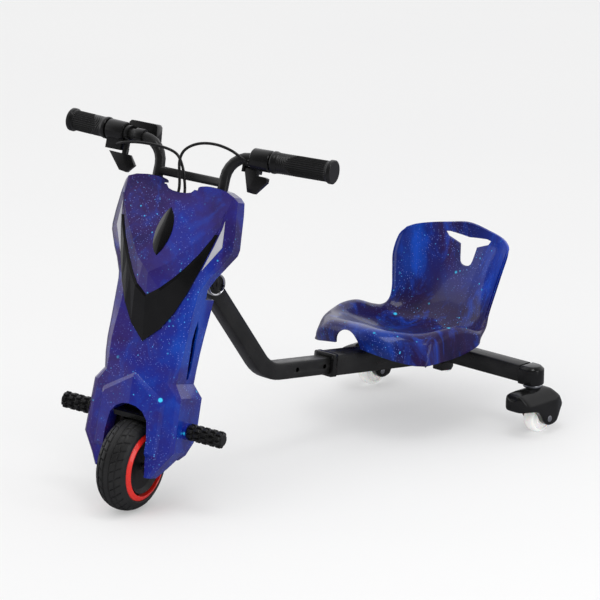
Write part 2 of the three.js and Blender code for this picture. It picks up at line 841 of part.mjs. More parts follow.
function rearShell() {
  const body = loft(rearStations.map((row) => rearRing(row, 0, undefined)));
  const hollow = loft(rearStations.map((row) => rearRing(row, -fairingWall, -fairingDepth)))
    .intersect(block(-fairingHalf, fairingHalf, -fairingDepth, fairingDepth, -fairingFoot,
      level(rearStations[rearStations.length - 1][0]) - fairingWall));
  const wellHalf = legOuter + wellGap;
  const well = block(-wellHalf, wellHalf, -fairingDepth, fairingDepth, -fairingRise, crownTop + wellGap);
  const column = rod(v3(0, 0, 0), v3(0, 0, fairingTop), columnRadius + wellGap);
  return cut(body, hollow, well, column, flankSlots(), pegBosses(pegBossRadius + seatGap));
}

// Fork, wheel, pegs and what the column carries, in the steering frame

function fork() {
  const half = legWidth / 2;
  const drop = forkOffset * Math.tan(rakeAngle);
  const foot = lowerRound(half).map(([y, z]) => [y - forkOffset, z - drop]);
  const legShape = [
    [-half, crownTop], [-half - forkOffset, -drop], ...foot, [half - forkOffset, -drop], [half, crownTop],
  ];
  const leftLeg = plate(legShape, 'x', legInner, legOuter);
  const rightLeg = plate(legShape, 'x', -legOuter, -legInner);
  const crown = block(-legOuter, legOuter, -half, half, crownLow, crownTop);
  const column = rod(v3(0, 0, crownLow), v3(0, 0, columnTop), columnRadius);
  const steerer = rod(v3(0, 0, columnTop - overrun), v3(0, 0, steererTop), steererRadius);
  const axleHole = rod(v3(-axleHalf, -forkOffset, -drop), v3(axleHalf, -forkOffset, -drop), axleRadius + seatGap);
  return join(column, crown, leftLeg, rightLeg, steerer).subtract(axleHole).subtract(pegHolesInLegs());
}

// Rounded foot of a leg in its side view, from the front round to the back
function lowerRound(radius) {
  return Array.from({ length: 7 }, (_, i) => {
    const angle = Math.PI + (Math.PI * (i + 1)) / 8;
    return [radius * Math.cos(angle), legFoot * Math.sin(angle)];
  });
}

function pegHolesInLegs() {
  const end = legOuter + overrun;
  return rod(v3(-end, pegSet, pegRise), v3(end, pegSet, pegRise), pegSpigotRadius + seatGap, smallSides);
}

const motorAxle = () => rod(v3(-axleHalf, 0, 0), v3(axleHalf, 0, 0), axleRadius);

function axleNut(side) {
  const from = side * (legOuter + seatGap);
  const to = side * (legOuter + nutLength);
  const hole = rod(v3(-axleHalf, 0, 0), v3(axleHalf, 0, 0), axleRadius + seatGap);
  return rod(v3(from, 0, 0), v3(to, 0, 0), nutRadius, 6).subtract(hole);
}

// Half profile of the tyre: share of the wheel radius, share of half the width
const tyreShares = [
  [1.000, 0.00], [0.985, 0.32], [0.945, 0.60], [0.890, 0.80], [0.820, 0.93], [0.765, 0.97],
];

function tyre() {
  const half = [...tyreShares.map(([r, x]) => [r * wheelRadius, x * tyreHalf]), [rimRadius + seatGap, rimEdge]];
  const other = half.slice(1).map(([r, x]) => [r, -x]).reverse();
  return turned([...half, ...other, half[0]], v3(0, 0, 0), xAxis, wheelSides);
}

function motorHub() {
  const profile = [
    [axleRadius + runGap, -hubHalf + hubDish],
    [rimInner - hubDish, -hubHalf + hubDish],
    [rimInner - seatGap, -hubHalf],
    [rimInner - seatGap, -rimEdge + rimStep],
    [rimRadius, -rimEdge + rimStep],
    [rimRadius, rimEdge - rimStep],
    [rimInner - seatGap, rimEdge - rimStep],
    [rimInner - seatGap, hubHalf],
    [rimInner - hubDish, hubHalf - hubDish],
    [axleRadius + runGap, hubHalf - hubDish],
    [axleRadius + runGap, -hubHalf + hubDish],
  ];
  return turned(profile, v3(0, 0, 0), xAxis, wheelSides);
}

function rimRing(side) {
  const inner = rimEdge - rimStep + seatGap;
  const profile = [
    [rimInner, inner],
    [rimRadius, inner],
    [rimRadius, rimEdge],
    [rimInner, rimLip],
    [rimInner, inner],
  ].map(([r, x]) => [r, side * x]);
  return turned(profile, v3(0, 0, 0), xAxis, wheelSides);
}

function pegCore(side) {
  const at = (x) => v3(side * x, pegSet, pegRise);
  return join(
    rod(at(legInner - seatGap), at(legOuter + overrun), pegSpigotRadius, smallSides),
    rod(at(legOuter + seatGap), at(pegEnd - pegCap), pegCoreRadius, smallSides),
  );
}

function pegRubber(side) {
  const start = pegBossEnd + seatGap;
  const hollow = pegCoreRadius + seatGap;
  const span = (pegEnd - start) / pegRingCount;
  const outer = Array.from({ length: pegRingCount }, (_, i) => {
    const low = start + i * span;
    return [
      [pegRubberWaist, low],
      [pegRubberRadius, low + 0.25 * span],
      [pegRubberRadius, low + 0.75 * span],
    ];
  });
  const skin = [...outer.flat(), [pegRubberWaist, pegEnd]];
  const cap = pegEnd - pegCap + seatGap;
  const profile = [[hollow, start], ...skin, [0, pegEnd], [0, cap], [hollow, cap], [hollow, start]];
  const open = profile.map(([r, x]) => [r, side * x]);
  return turned(open, v3(0, pegSet, pegRise), xAxis, 18);
}

function batteryPack() {
  const low = batteryFront;
  const shape = [
    [-batteryHalf, low + 0.2 * batteryHalf],
    [-0.8 * batteryHalf, low],
    [0.8 * batteryHalf, low],
    [batteryHalf, low + 0.2 * batteryHalf],
    [batteryHalf, -columnRadius - seatGap],
    [-batteryHalf, -columnRadius - seatGap],
  ];
  return plate(shape, 'z', batteryLow, batteryTop);
}

const motorController = () => block(
  -controllerHalf, controllerHalf, controllerFront, -columnRadius - seatGap, batteryTop + seatGap, controllerTop,
);

// Handlebar and controls, in the steering frame

const barCorner = (side) => v3(side * uprightSpacing, barTopSet, barShoulder);
const barEnd = (side, short) => v3(side * (barReach - short), gripBack, barHeight);
const barAxis = (side) => barEnd(side, 0).sub(barCorner(side)).normalize();

// The point of the outer bar at a distance from the middle plane
function barAt(side, x) {
  const axis = barAxis(side);
  return barCorner(side).addScaledVector(axis, (x - uprightSpacing) / Math.abs(axis.x));
}

const onBar = (side, profile, sides = 24) => turned(profile, barAt(side, 0), barAxis(side), sides);
const barBore = (side, from, to) => rod(barAt(side, from), barAt(side, to), barRadius + seatGap);

function barPath() {
  const low = (side) => v3(side * uprightSpacing, barSet, barClampHeight);
  const end = (side) => barEnd(side, gripCap + seatGap);
  const corners = [end(1), barCorner(1), low(1), low(-1), barCorner(-1), end(-1)];
  return bentPath(corners, [barTopBend, barLowBend, barLowBend, barTopBend], bendSteps);
}

function handlebar() {
  const tube = swept(polygon(16, barRadius), barPath(), v3(0, 1, 0));
  const set = barSet + (barTopSet - barSet) * crossbarSetShare;
  const cross = rod(
    v3(-uprightSpacing, set, crossbarHeight), v3(uprightSpacing, set, crossbarHeight), crossbarRadius, smallSides,
  );
  return tube.add(cross);
}

const barClearance = () => swept(polygon(16, barRadius + seatGap), barPath(), v3(0, 1, 0));

function stemClamp() {
  const body = block(-stemHalf, stemHalf, stemFront, stemBack, stemLow, barClampHeight - seatGap);
  const steerer = rod(v3(0, 0, headTop), v3(0, 0, steererTop + seatGap), steererRadius + seatGap);
  return cut(body, steerer, barClearance());
}

function stemCap() {
  const body = block(-stemHalf, stemHalf, stemCapFront, stemBack, barClampHeight + seatGap, stemTop);
  return cut(body, barClearance());
}

function grip(side, start) {
  const hollow = barRadius + seatGap;
  const flange = barReach - gripFlangeWidth;
  const profile = [
    [hollow, start],
    [gripFlange, start],
    [gripFlange, start + gripCollar / 2],
    [gripRadius, start + gripCollar],
    [gripRadius, flange - gripCollar],
    [gripFlange, flange],
    [gripFlange, barReach],
    [0, barReach],
    [0, barReach - gripCap + seatGap],
    [hollow, barReach - gripCap + seatGap],
    [hollow, start],
  ];
  return onBar(side, profile);
}

function throttleHousing() {
  const ring = onBar(-1, [
    [barRadius + seatGap, throttleInner], [throttleRadius - 1.5, throttleInner], [throttleRadius, throttleInner + 1.5],
    [throttleRadius, throttleOuter - 1.5], [throttleRadius - 1.5, throttleOuter],
    [barRadius + seatGap, throttleOuter], [barRadius + seatGap, throttleInner],
  ]);
  const centre = barAt(-1, (throttleInner + throttleOuter) / 2);
  const reach = throttleBodyHalf;
  const body = block(
    -throttleOuter + throttleInset, -throttleInner - throttleInset,
    centre.y - reach, centre.y + reach, throttleLow, centre.z,
  );
  return join(ring, body).subtract(barBore(-1, throttleInner - overrun, throttleOuter + overrun));
}

// Thumb paddle hung from a ring on the bar, as [x, z] shares of its width and height
const paddleShares = [
  [0.84, 0.00], [0.98, 0.00], [0.98, -0.40], [1.43, -0.80], [1.13, -1.01], [0.80, -0.98],
  [0.22, -0.54], [0.50, -0.45], [0.80, -0.45],
];

function throttlePaddle() {
  const centre = barAt(-1, paddleInner);
  const outline = paddleShares.map(([a, h]) => [-throttleOuter + a * paddleWidth, centre.z + h * paddleDrop]);
  const blade = plate(outline, 'y', centre.y - paddleHalf, centre.y + paddleHalf);
  const hub = onBar(-1, [
    [barRadius + seatGap, paddleInner], [paddleRing, paddleInner], [paddleRing, paddleOuter],
    [barRadius + seatGap, paddleOuter], [barRadius + seatGap, paddleInner],
  ]);
  const bore = barBore(-1, paddleInner - overrun, paddleOuter + overrun);
  const beside = onBar(-1, [
    [0, paddleOuter], [paddleClear, paddleOuter], [paddleClear, throttleOuter + overrun], [0, throttleOuter + overrun],
  ]);
  const within = onBar(-1, [
    [0, paddleInner - overrun], [paddleClear, paddleInner - overrun], [paddleClear, paddleInner], [0, paddleInner],
  ]);
  return join(blade.subtract(beside).subtract(within), hub).subtract(bore);
}

function displayHousing() {
  const clip = onBar(-1, [
    [barRadius + seatGap, clipInner], [clipRadius, clipInner], [clipRadius, clipOuter],
    [barRadius + seatGap, clipOuter], [barRadius + seatGap, clipInner],
  ]);
  const face = [
    [-displayOuter, displayLow + displayCorner],
    [-displayOuter + displayCorner, displayLow],
    [-displayInner, displayLow],
    [-displayInner - displayCorner, displayTop - displayCorner],
    [-displayInner - 2 * displayCorner, displayTop],
    [-displayOuter + displayCorner, displayTop],
    [-displayOuter, displayTop - displayCorner],
  ];
  const box = plate(face, 'y', displayFront, displayBack);
  const bar = barAt(-1, clipInner);
  const arm = block(-clipOuter + earWidth / 2, -clipInner - earWidth / 2, bar.y, displayFront + displayCorner,
    displayLow + displayCorner, bar.z);
  return join(clip, box, arm).subtract(barClearance());
}

function displayWindow() {
  const inset = 2 * displayCorner;
  return block(
    -displayOuter + inset, -displayInner - 2 * inset, displayBack + seatGap, displayBack + windowStand,
    displayLow + inset, displayTop - inset,
  );
}

function brakePerch() {
  const ring = onBar(1, [
    [barRadius + seatGap, perchInner], [perchRadius - 2, perchInner], [perchRadius, perchInner + 2],
    [perchRadius, perchOuter - 2], [perchRadius - 2, perchOuter],
    [barRadius + seatGap, perchOuter], [barRadius + seatGap, perchInner],
  ]);
  const bar = barAt(1, perchInner);
  const body = block(leverInner - earWidth, leverOuter + earWidth, bar.y - earHalf, bar.y + earHalf,
    leverPivot + leverBarrel + seatGap, bar.z);
  const ear = (low) => block(low, low + earWidth, bar.y - earHalf, bar.y + earHalf,
    leverPivot - leverBarrel, bar.z);
  const inlet = rod(v3(perchInner, bar.y, ferruleHeight), v3(perchInner - ferruleLength, ferruleSet, ferruleHeight),
    ferruleRadius, smallSides);
  const pin = rod(leverPin(-overrun), leverPin(overrun), leverPinRadius + seatGap, smallSides);
  const barrel = rod(leverEnd(leverInner), leverEnd(leverOuter), leverBarrel + seatGap, smallSides);
  return join(ring, body, ear(leverInner - earWidth), ear(leverOuter), inlet)
    .subtract(join(barClearance(), pin, barrel));
}

const leverEnd = (x) => v3(x, barAt(1, perchInner).y, leverPivot);

// End of the lever pin, moved out by a distance where that is positive
function leverPin(move) {
  return leverEnd(move > 0 ? leverOuter + earWidth + move : leverInner - earWidth + move);
}

// Trigger blade below the perch, as [x, z] shares of its width and drop
const triggerShares = [
  [0.00, 0.00], [0.52, 0.00], [1.00, -0.24], [1.00, -0.42], [0.58, -1.00], [0.28, -0.97],
];

function brakeLever() {
  const y = barAt(1, perchInner).y;
  const left = leverInner + runGap;
  const right = leverOuter - runGap;
  const outline = triggerShares.map(([a, h]) => [left + a * triggerWidth, leverPivot + h * triggerDrop]);
  const blade = plate(outline, 'y', y - triggerHalf, y + triggerHalf);
  const under = block(right, left + 2 * triggerWidth, y - earHalf - overrun, y + earHalf + overrun,
    leverPivot - leverBarrel - triggerHalf / 2, barShoulder);
  const barrel = rod(leverEnd(left), leverEnd(right), leverBarrel, smallSides);
  const pin = rod(leverPin(-runGap), leverEnd(leverOuter + earWidth), leverPinRadius, smallSides);
  return join(blade.subtract(under), barrel, pin);
}

// Cable routes as shares of where the control starts on the bar, of the fairing depth and of the bar height
const throttleShares = [
  [-1.0695, 0.048, 0.953], [-1.0239, -0.030, 0.956], [-0.9383, -0.085, 0.962], [-0.7834, -0.100, 0.970],
  [-0.6286, -0.100, 0.974],
  [-0.4099, -0.09, 0.974], [-0.2368, -0.10, 0.968], [-0.1366, -0.10, 0.955], [-0.0547, -0.10, 0.925],
  [0.0000, -0.10, 0.888], [0.0364, -0.115, 0.858], [0.0547, -0.150, 0.832], [0.0619, -0.220, 0.800],
  [0.0619, -0.285, 0.760], [0.0619, -0.300, 0.700], [0.0619, -0.290, 0.640], [0.0619, -0.260, 0.582],
];
const brakeShares = [
  [0.9571, 0.022, 0.979], [0.9025, -0.035, 0.986], [0.7125, -0.085, 1.004], [0.4750, -0.12, 1.013],
  [0.2494, -0.15, 1.010], [0.0665, -0.165, 0.997], [-0.0617, -0.175, 0.975], [-0.1045, -0.175, 0.945],
  [-0.0831, -0.165, 0.912], [-0.0522, -0.150, 0.880], [-0.0427, -0.142, 0.855], [-0.0475, -0.165, 0.830],
  [-0.0522, -0.225, 0.800], [-0.0570, -0.290, 0.760], [-0.0570, -0.305, 0.700], [-0.0570, -0.290, 0.640],
  [-0.0570, -0.260, 0.582],
];

function cable(shares, reach, steps) {
  const points = shares.map(([a, d, h]) => v3(a * reach, depth(d), h * barHeight));
  return tubeAlong(new THREE.CatmullRomCurve3(points), cableRadius, steps, cordSides);
}

// Frame, in the ground frame under the front axle

const axisPoint = (s) => v3(0, s * Math.sin(rakeAngle), wheelRadius + s * Math.cos(rakeAngle));
const beamLine = (y, lift = 0) => {
  return v3(0, y, crossHeight + beamStand + (rearReach - y) * Math.tan(beamSlope) + lift);
};

function boxTube(corners, wide, high, corner) {
  return swept(roundedBox(wide, high, corner, 2), bentPath(corners, [bendRadius], bendSteps), xAxis);
}

// The sleeve with all its faces moved out by a distance, between two places along the beam
function sleeveBlock(grown, from, to) {
  return boxTube([beamLine(from, sleeveLift), beamLine(to, sleeveLift)],
    sleeveWide + 2 * grown, sleeveRise + 2 * grown, tubeCorner);
}

const downTubeStart = () => axisPoint(headJointHeight);
const downAlong = () => beamLine(bendReach).sub(downTubeStart()).normalize();

function frontFrame() {
  const corners = [downTubeStart(), beamLine(bendReach), beamLine(beamEnd)];
  const tube = boxTube(corners, tubeSide, tubeSide, tubeCorner);
  const begin = downTubeStart().addScaledVector(downAlong(), headRadius + headSink);
  const hollow = tubeSide - 2 * tubeWall;
  const inside = boxTube([begin, beamLine(bendReach), beamLine(beamEnd + overrun)],
    hollow, hollow, tubeCorner - tubeWall);
  const head = rod(axisPoint(headLow), axisPoint(headTop), headRadius);
  const bore = rod(axisPoint(headLow - overrun), axisPoint(headTop + overrun), headBore);
  const holes = Array.from({ length: holeCount }, (_, i) => {
    const middle = beamLine(firstHole + i * holePitch);
    const out = v3(tubeSide, 0, 0);
    return rod(middle.clone().sub(out), middle.clone().add(out), holeRadius, smallSides);
  });
  return cut(join(head, tube), bore, inside, ...holes);
}

// Headset cup with a sleeve pressed into the head tube end
function headsetCup(end, inward) {
  const top = end - inward * cupHeight;
  const inside = end + inward * cupSleeve;
  const bore = steererRadius + wellGap / 2;
  const profile = [
    [bore, top], [cupRadius - 1.5, top], [cupRadius, top + inward * 1.5], [cupRadius, end - inward * seatGap],
    [headBore - seatGap, end - inward * seatGap], [headBore - seatGap, inside], [bore, inside], [bore, top],
  ];
  return turned(profile, axisPoint(0), axisPoint(1).sub(axisPoint(0)));
}

// Key switch on the left face of the down tube
function keySwitch() {
  const middle = downTubeStart().addScaledVector(downAlong(), switchReach);
  const face = tubeSide / 2 + seatGap;
  return { middle, face };
}

function switchBezel() {
  const { middle, face } = keySwitch();
  const profile = [
    [switchRadius - bezelWidth, face], [switchRadius, face], [switchRadius, face + switchDepth],
    [switchRadius - 0.3 * bezelWidth, face + switchDepth + bezelStand],
    [switchRadius - bezelWidth, face + switchDepth], [switchRadius - bezelWidth, face],
  ];
  return turned(profile, middle, xAxis);
}

function switchCore() {
  const { middle, face } = keySwitch();
  const radius = switchRadius - bezelWidth - seatGap;
  const profile = [
    [0, face], [radius, face], [radius, face + switchDepth - 2], [0.6 * radius, face + switchDepth - 2],
    [0.6 * radius, face + switchDepth], [0, face + switchDepth],
  ];
  const core = turned(profile, middle, xAxis);
  const slot = block(face + switchDepth - 2, face + switchDepth + overrun,
    middle.y - keyHalf, middle.y + keyHalf, middle.z - 4 * keyHalf, middle.z + 4 * keyHalf);
  return core.subtract(slot);
}

function rearFrame() {
  const sleeve = sleeveBlock(0, sleeveStart, rearReach - crossSide / 3);
  const inside = sleeveBlock(-sleeveWall, sleeveStart - overrun, sleeveStop);
  const half = crossSide / 2;
  const cross = swept(roundedBox(crossSide, crossSide, tubeCorner, 2),
    bentPath([v3(-crossHalf, rearReach, crossHeight), v3(crossHalf, rearReach, crossHeight)], [], 1), v3(0, 1, 0));
  const hollow = half - tubeWall;
  const through = block(-crossHalf - overrun, crossHalf + overrun, rearReach - hollow, rearReach + hollow,
    crossHeight - hollow, crossHeight + hollow);
  return cut(join(sleeve, cross), inside, through);
}

// The beam with a sliding fit round it, between two places
function beamFit(from, to) {
  const side = tubeSide + 2 * seatGap;
  return boxTube([beamLine(from), beamLine(to)], side, side, tubeCorner);
}

// Collar over the front end of the sleeve, with a bush that guides the beam
function sleeveCollar() {
  const cap = sleeveBlock(collarWall + seatGap, collarStart, collarEnd);
  const overSleeve = sleeveBlock(seatGap, sleeveStart - seatGap, collarEnd + overrun);
  const bush = sleeveBlock(-sleeveWall - seatGap, collarStart + collarWall, bushEnd);
  return cut(join(cut(cap, overSleeve), bush), beamFit(collarStart - overrun, bushEnd + overrun));
}

// Sliding block round the rear end of the beam, inside the sleeve
function beamSlider() {
  return cut(sleeveBlock(-sleeveWall - seatGap, plugStart, beamEnd), beamFit(plugStart - overrun, beamEnd + overrun));
}

// Rounded end housing of the cross tube, with a bore for the caster stem
function crossCap(side) {
  const half = crossSide / 2 + capStand;
  const centre = casterSpacing / 2;
  const plan = [
    [crossHalf + seatGap, rearReach - half],
    ...Array.from({ length: 9 }, (_, i) => {
      const angle = -Math.PI / 2 + (Math.PI * i) / 8;
      return [centre + half * Math.cos(angle), rearReach + half * Math.sin(angle)];
    }),
    [crossHalf + seatGap, rearReach + half],
  ].map(([x, y]) => [side * x, y]);
  const low = crossHeight - crossSide / 2 - capLift;
  const high = crossHeight + crossSide / 2 + capLift;
  const full = plate(plan, 'z', low, high - capBevel);
  const topPlan = drawnIn(plan, capBevel);
  const lid = loft([
    plan.map(([x, y]) => v3(x, y, high - capBevel)),
    topPlan.map(([x, y]) => v3(x, y, high)),
  ]);
  const plugHalf = crossSide / 2 - tubeWall - seatGap;
  const inner = side * (crossHalf - plugLength);
  const outer = side * (crossHalf + plugLength / 2);
  const plug = block(Math.min(inner, outer), Math.max(inner, outer), rearReach - plugHalf, rearReach + plugHalf,
    crossHeight - plugHalf, crossHeight + plugHalf);
  const bore = rod(v3(side * centre, rearReach, low - overrun), v3(side * centre, rearReach, stemReach + seatGap),
    casterStemRadius + seatGap);
  return join(full, lid, plug).subtract(bore);
}

function casterStem(side) {
  const x = side * (casterSpacing / 2);
  const under = crossHeight - crossSide / 2 - capLift - seatGap;
  const profile = [
    [0, stemFoot], [casterStemRadius, stemFoot], [casterStemRadius, under - flangeHeight],
    [flangeRadius, under - flangeHeight], [flangeRadius, under], [casterStemRadius, under],
    [casterStemRadius, stemReach], [0, stemReach],
  ];
  return turned(profile, v3(x, rearReach, 0), up);
}

// Anti-tip roller and its bracket under the cross tube
const rollerCentre = () => v3(0, rollerReach, rollerHeight);

function antiTipBracket() {
  const { y, z } = rollerCentre();
  const top = crossHeight - crossSide / 2 - seatGap;
  const near = rollerHalf + runClear;
  const wide = near + bracketWall;
  const front = y - bracketShare * rollerRadius;
  const web = block(-wide, wide, front, y - rollerRadius - runClear, z - rollerPinRadius, top);
  const shape = [[front, top], [front, z - rollerPinRadius], [y, z - 2 * rollerPinRadius],
    [y + 2 * rollerPinRadius, z], [y + 2 * rollerPinRadius, top]];
  const pin = rod(v3(-wide, y, z), v3(wide, y, z), rollerPinRadius, smallSides);
  const sleeve = sleeveBlock(seatGap, sleeveStart, rearReach + crossSide);
  return cut(join(web, plate(shape, 'x', near, wide), plate(shape, 'x', -wide, -near)), sleeve).add(pin);
}

function antiTipWheel() {
  const profile = [
    [rollerPinRadius + seatGap, -rollerHalf], [0.88 * rollerRadius, -rollerHalf], [rollerRadius, -0.6 * rollerHalf],
    [rollerRadius, 0.6 * rollerHalf], [0.88 * rollerRadius, rollerHalf], [rollerPinRadius + seatGap, rollerHalf],
    [rollerPinRadius + seatGap, -rollerHalf],
  ];
  return turned(profile, rollerCentre(), xAxis);
}

// Bucket seat, in the ground frame

// Stations from the foot of the front skirt over the pan and up the back. Each holds points from the
// middle out to the rim and down the skirt: share of half the width, depth share and height share
const seatStations = [
  [[0.00, 0.009, 0.127], [0.38, 0.023, 0.095], [0.66, 0.067, 0.050],
    [0.87, 0.128, 0.015], [0.97, 0.175, 0.003], [0.99, 0.190, 0.000]],
  [[0.00, 0.003, 0.220], [0.38, 0.015, 0.210], [0.66, 0.055, 0.128],
    [0.87, 0.143, 0.059], [0.98, 0.198, 0.055], [1.00, 0.220, 0.000]],
  [[0.00, 0.026, 0.290], [0.38, 0.038, 0.280], [0.66, 0.085, 0.205],
    [0.87, 0.166, 0.145], [0.98, 0.210, 0.098], [1.00, 0.250, 0.000]],
  [[0.00, 0.093, 0.300], [0.38, 0.102, 0.290], [0.66, 0.143, 0.270],
    [0.87, 0.205, 0.210], [0.98, 0.250, 0.170], [1.00, 0.285, 0.000]],
  [[0.00, 0.210, 0.243], [0.38, 0.210, 0.229], [0.66, 0.239, 0.250],
    [0.87, 0.283, 0.257], [0.98, 0.325, 0.215], [1.00, 0.335, 0.000]],
  [[0.00, 0.327, 0.175], [0.38, 0.327, 0.146], [0.66, 0.344, 0.186],
    [0.87, 0.370, 0.277], [0.98, 0.392, 0.238], [1.00, 0.402, 0.000]],
  [[0.00, 0.458, 0.110], [0.38, 0.458, 0.072], [0.66, 0.467, 0.127],
    [0.87, 0.482, 0.262], [0.98, 0.496, 0.230], [1.00, 0.502, 0.018]],
  [[0.00, 0.589, 0.066], [0.38, 0.589, 0.036], [0.66, 0.595, 0.088],
    [0.87, 0.603, 0.193], [0.97, 0.608, 0.165], [0.98, 0.612, 0.050]],
  [[0.00, 0.712, 0.080], [0.38, 0.706, 0.061], [0.66, 0.695, 0.098],
    [0.85, 0.679, 0.172], [0.92, 0.672, 0.150], [0.90, 0.672, 0.090]],
  [[0.00, 0.813, 0.196], [0.37, 0.804, 0.182], [0.64, 0.778, 0.196],
    [0.80, 0.736, 0.226], [0.875, 0.718, 0.205], [0.86, 0.735, 0.175]],
  [[0.00, 0.886, 0.368], [0.36, 0.875, 0.363], [0.62, 0.831, 0.353],
    [0.79, 0.770, 0.333], [0.865, 0.742, 0.310], [0.85, 0.762, 0.305]],
  [[0.00, 0.948, 0.574], [0.36, 0.933, 0.569], [0.63, 0.880, 0.549],
    [0.82, 0.808, 0.520], [0.91, 0.765, 0.485], [0.895, 0.788, 0.485]],
  [[0.00, 0.988, 0.819], [0.37, 0.974, 0.804], [0.65, 0.927, 0.765],
    [0.86, 0.842, 0.700], [0.95, 0.788, 0.645], [0.935, 0.812, 0.648]],
  [[0.00, 0.987, 0.925], [0.37, 0.976, 0.895], [0.64, 0.945, 0.868],
    [0.85, 0.883, 0.828], [0.95, 0.834, 0.795], [0.935, 0.856, 0.798]],
  [[0.00, 0.979, 0.985], [0.37, 0.972, 0.950], [0.62, 0.955, 0.925],
    [0.80, 0.915, 0.900], [0.90, 0.880, 0.870], [0.90, 0.893, 0.870]],
];

function seatPoint([a, d, h], side) {
  return v3(side * a * (seatWidth / 2), seatFront + d * seatDepth, seatLow + h * seatHeight);
}

// The stations as rows of points from the right rim over the middle to the left rim
function seatGrid() {
  return seatStations.map((row) => {
    const right = row.slice(1).map((point) => seatPoint(point, -1)).reverse();
    return [...right, ...row.map((point) => seatPoint(point, 1))];
  });
}

// Plain vent in the back, a bar over a tapered stem: shares of the seat width and height
const ventShares = [
  [0.000, 0.842], [0.165, 0.865], [0.205, 0.858], [0.180, 0.815], [0.078, 0.765], [0.056, 0.610], [0.028, 0.580],
];

const ventOutline = () => mirrored([...ventShares, [0, ventShares[6][1]]].map(([a, h]) => {
  return [a * seatWidth, seatLow + h * seatHeight];
}));

// Arch in the front skirt over the beam
function archNotch() {
  const top = seatLow + notchTopShare * seatHeight;
  const half = notchHalf;
  const arc = Array.from({ length: 9 }, (_, i) => {
    const angle = (Math.PI * i) / 8;
    return [half * Math.cos(angle), top - half + half * Math.sin(angle)];
  });
  return plate([[half, 0], ...arc, [-half, 0]], 'y', seatFront - overrun, seatFront + notchReach);
}

// Spots of the seat bolts, each with the height of the pan above it
const seatBoltSpots = () => [-1, 1].flatMap((side) => boltShares.map(([along, high]) => {
  return { x: side * boltSpacing, y: seatFront + along * seatDepth, pan: seatLow + high * seatHeight };
}));

// Upright round bars at the seat bolts, between heights worked out at each of them
const atBolts = (radius, low, high) => seatBoltSpots().map((spot) => {
  return rod(v3(spot.x, spot.y, low(spot)), v3(spot.x, spot.y, high(spot)), radius, smallSides);
});

function seatShell() {
  const grid = seatGrid();
  const body = sheetBody(grid, offsetGrid(grid, -seatWall));
  const bosses = atBolts(bossRadius, ({ pan }) => pan - bossDepth, ({ pan }) => pan - bossCover);
  const holes = atBolts(boltRadius + seatGap, () => 0, ({ pan }) => pan - seatWall);
  const vent = plate(ventOutline(), 'y', seatFront + seatDepth / 2, seatFront + seatDepth + overrun);
  return cut(join(body, ...bosses), vent, archNotch(), ...holes);
}

// Mounting block between the sleeve and the pan, its flanges beside the sleeve
function seatMount() {
  const grid = seatGrid();
  const lifted = grid.map((row) => row.map((point) => point.clone().add(v3(0, 0, seatHeight))));
  const over = sheetBody(lifted, offsetGrid(grid, -seatWall - seatGap));
  const body = block(-mountHalf, mountHalf, mountFront, mountBack, seatLow - overrun, seatLow + seatHeight / 2);
  const sleeve = sleeveBlock(seatGap, sleeveStart, rearReach);
  const below = plate([
    [mountFront - overrun, 0], [mountBack + overrun, 0],
    [mountBack + overrun, beamLine(mountBack + overrun).z], [mountFront - overrun, beamLine(mountFront - overrun).z],
  ], 'x', -mountHalf - overrun, mountHalf + overrun);
  const pockets = atBolts(bossRadius + seatGap, ({ pan }) => pan - bossDepth - seatGap, ({ pan }) => pan + overrun);
  const holes = atBolts(boltRadius + seatGap, () => 0, ({ pan }) => pan);
  const seats = atBolts(boltHeadRadius + seatGap, () => 0, ({ y }) => beamLine(y).z + boltSink);
  return cut(body, over, sleeve, below, ...pockets, ...holes, ...seats);
}

// Bolt from below, its head against the mounting block and its end in a boss of the pan
function seatBolt({ x, y, pan }) {
  const under = beamLine(y).z + boltSink - seatGap;
  return join(
    rod(v3(x, y, under - boltHeadHeight), v3(x, y, under), boltHeadRadius, smallSides),
    rod(v3(x, y, under - boltHeadHeight / 2), v3(x, y, pan - seatWall - seatGap), boltRadius, smallSides),
  );
}

// Hooded caster, about its swivel axis at ground level, trailing to +Y

const hoodProfileShares = [
  [-0.90, 0.62], [-1.00, 0.68], [-1.00, 0.80], [-0.86, 0.93], [-0.60, 1.00], [0.30, 1.00], [0.58, 0.94],
  [0.84, 0.76], [1.08, 0.53], [0.92, 0.49], [0.78, 0.36], [0.66, 0.26], [0.50, 0.22], [0.30, 0.22],
  [0.12, 0.30], [0.00, 0.44], [-0.15, 0.55], [-0.50, 0.61],
];

function casterHood() {
  const side = plate(hoodProfileShares.map(([a, h]) => [a * hoodReach, h * hoodTop]), 'x', -hoodHalf, hoodHalf);
  const nose = hoodNose;
  const plan = [
    ...Array.from({ length: hoodSteps + 1 }, (_, i) => {
      const angle = -Math.PI + (Math.PI * i) / hoodSteps;
      return [hoodHalf * Math.cos(angle), -nose + hoodHalf * Math.sin(angle)];
    }),
    [hoodHalf, 0.7 * hoodReach],
    [0.7 * hoodHalf, 1.2 * hoodReach],
    [-0.7 * hoodHalf, 1.2 * hoodReach],
    [-hoodHalf, 0.7 * hoodReach],
  ];
  const outline = plate(plan, 'z', -overrun, hoodTop + overrun);
  const axle = v3(0, casterTrail, casterRadius);
  const out = v3(casterHalf + wellClear, 0, 0);
  const well = rod(axle.clone().sub(out), axle.clone().add(out), casterRadius + wellClear);
  const below = block(-out.x, out.x, casterTrail - casterRadius - wellClear, casterTrail + casterRadius + wellClear,
    -overrun, casterRadius);
  const bore = rod(v3(0, 0, hoodTop + overrun), v3(0, 0, stemFoot - seatGap), casterStemRadius + seatGap);
  const far = v3(hoodHalf + overrun, 0, 0);
  const axleHole = rod(axle.clone().sub(far), axle.clone().add(far), casterAxleRadius + seatGap, smallSides);
  return cut(side.intersect(outline), well, below, bore, axleHole);
}

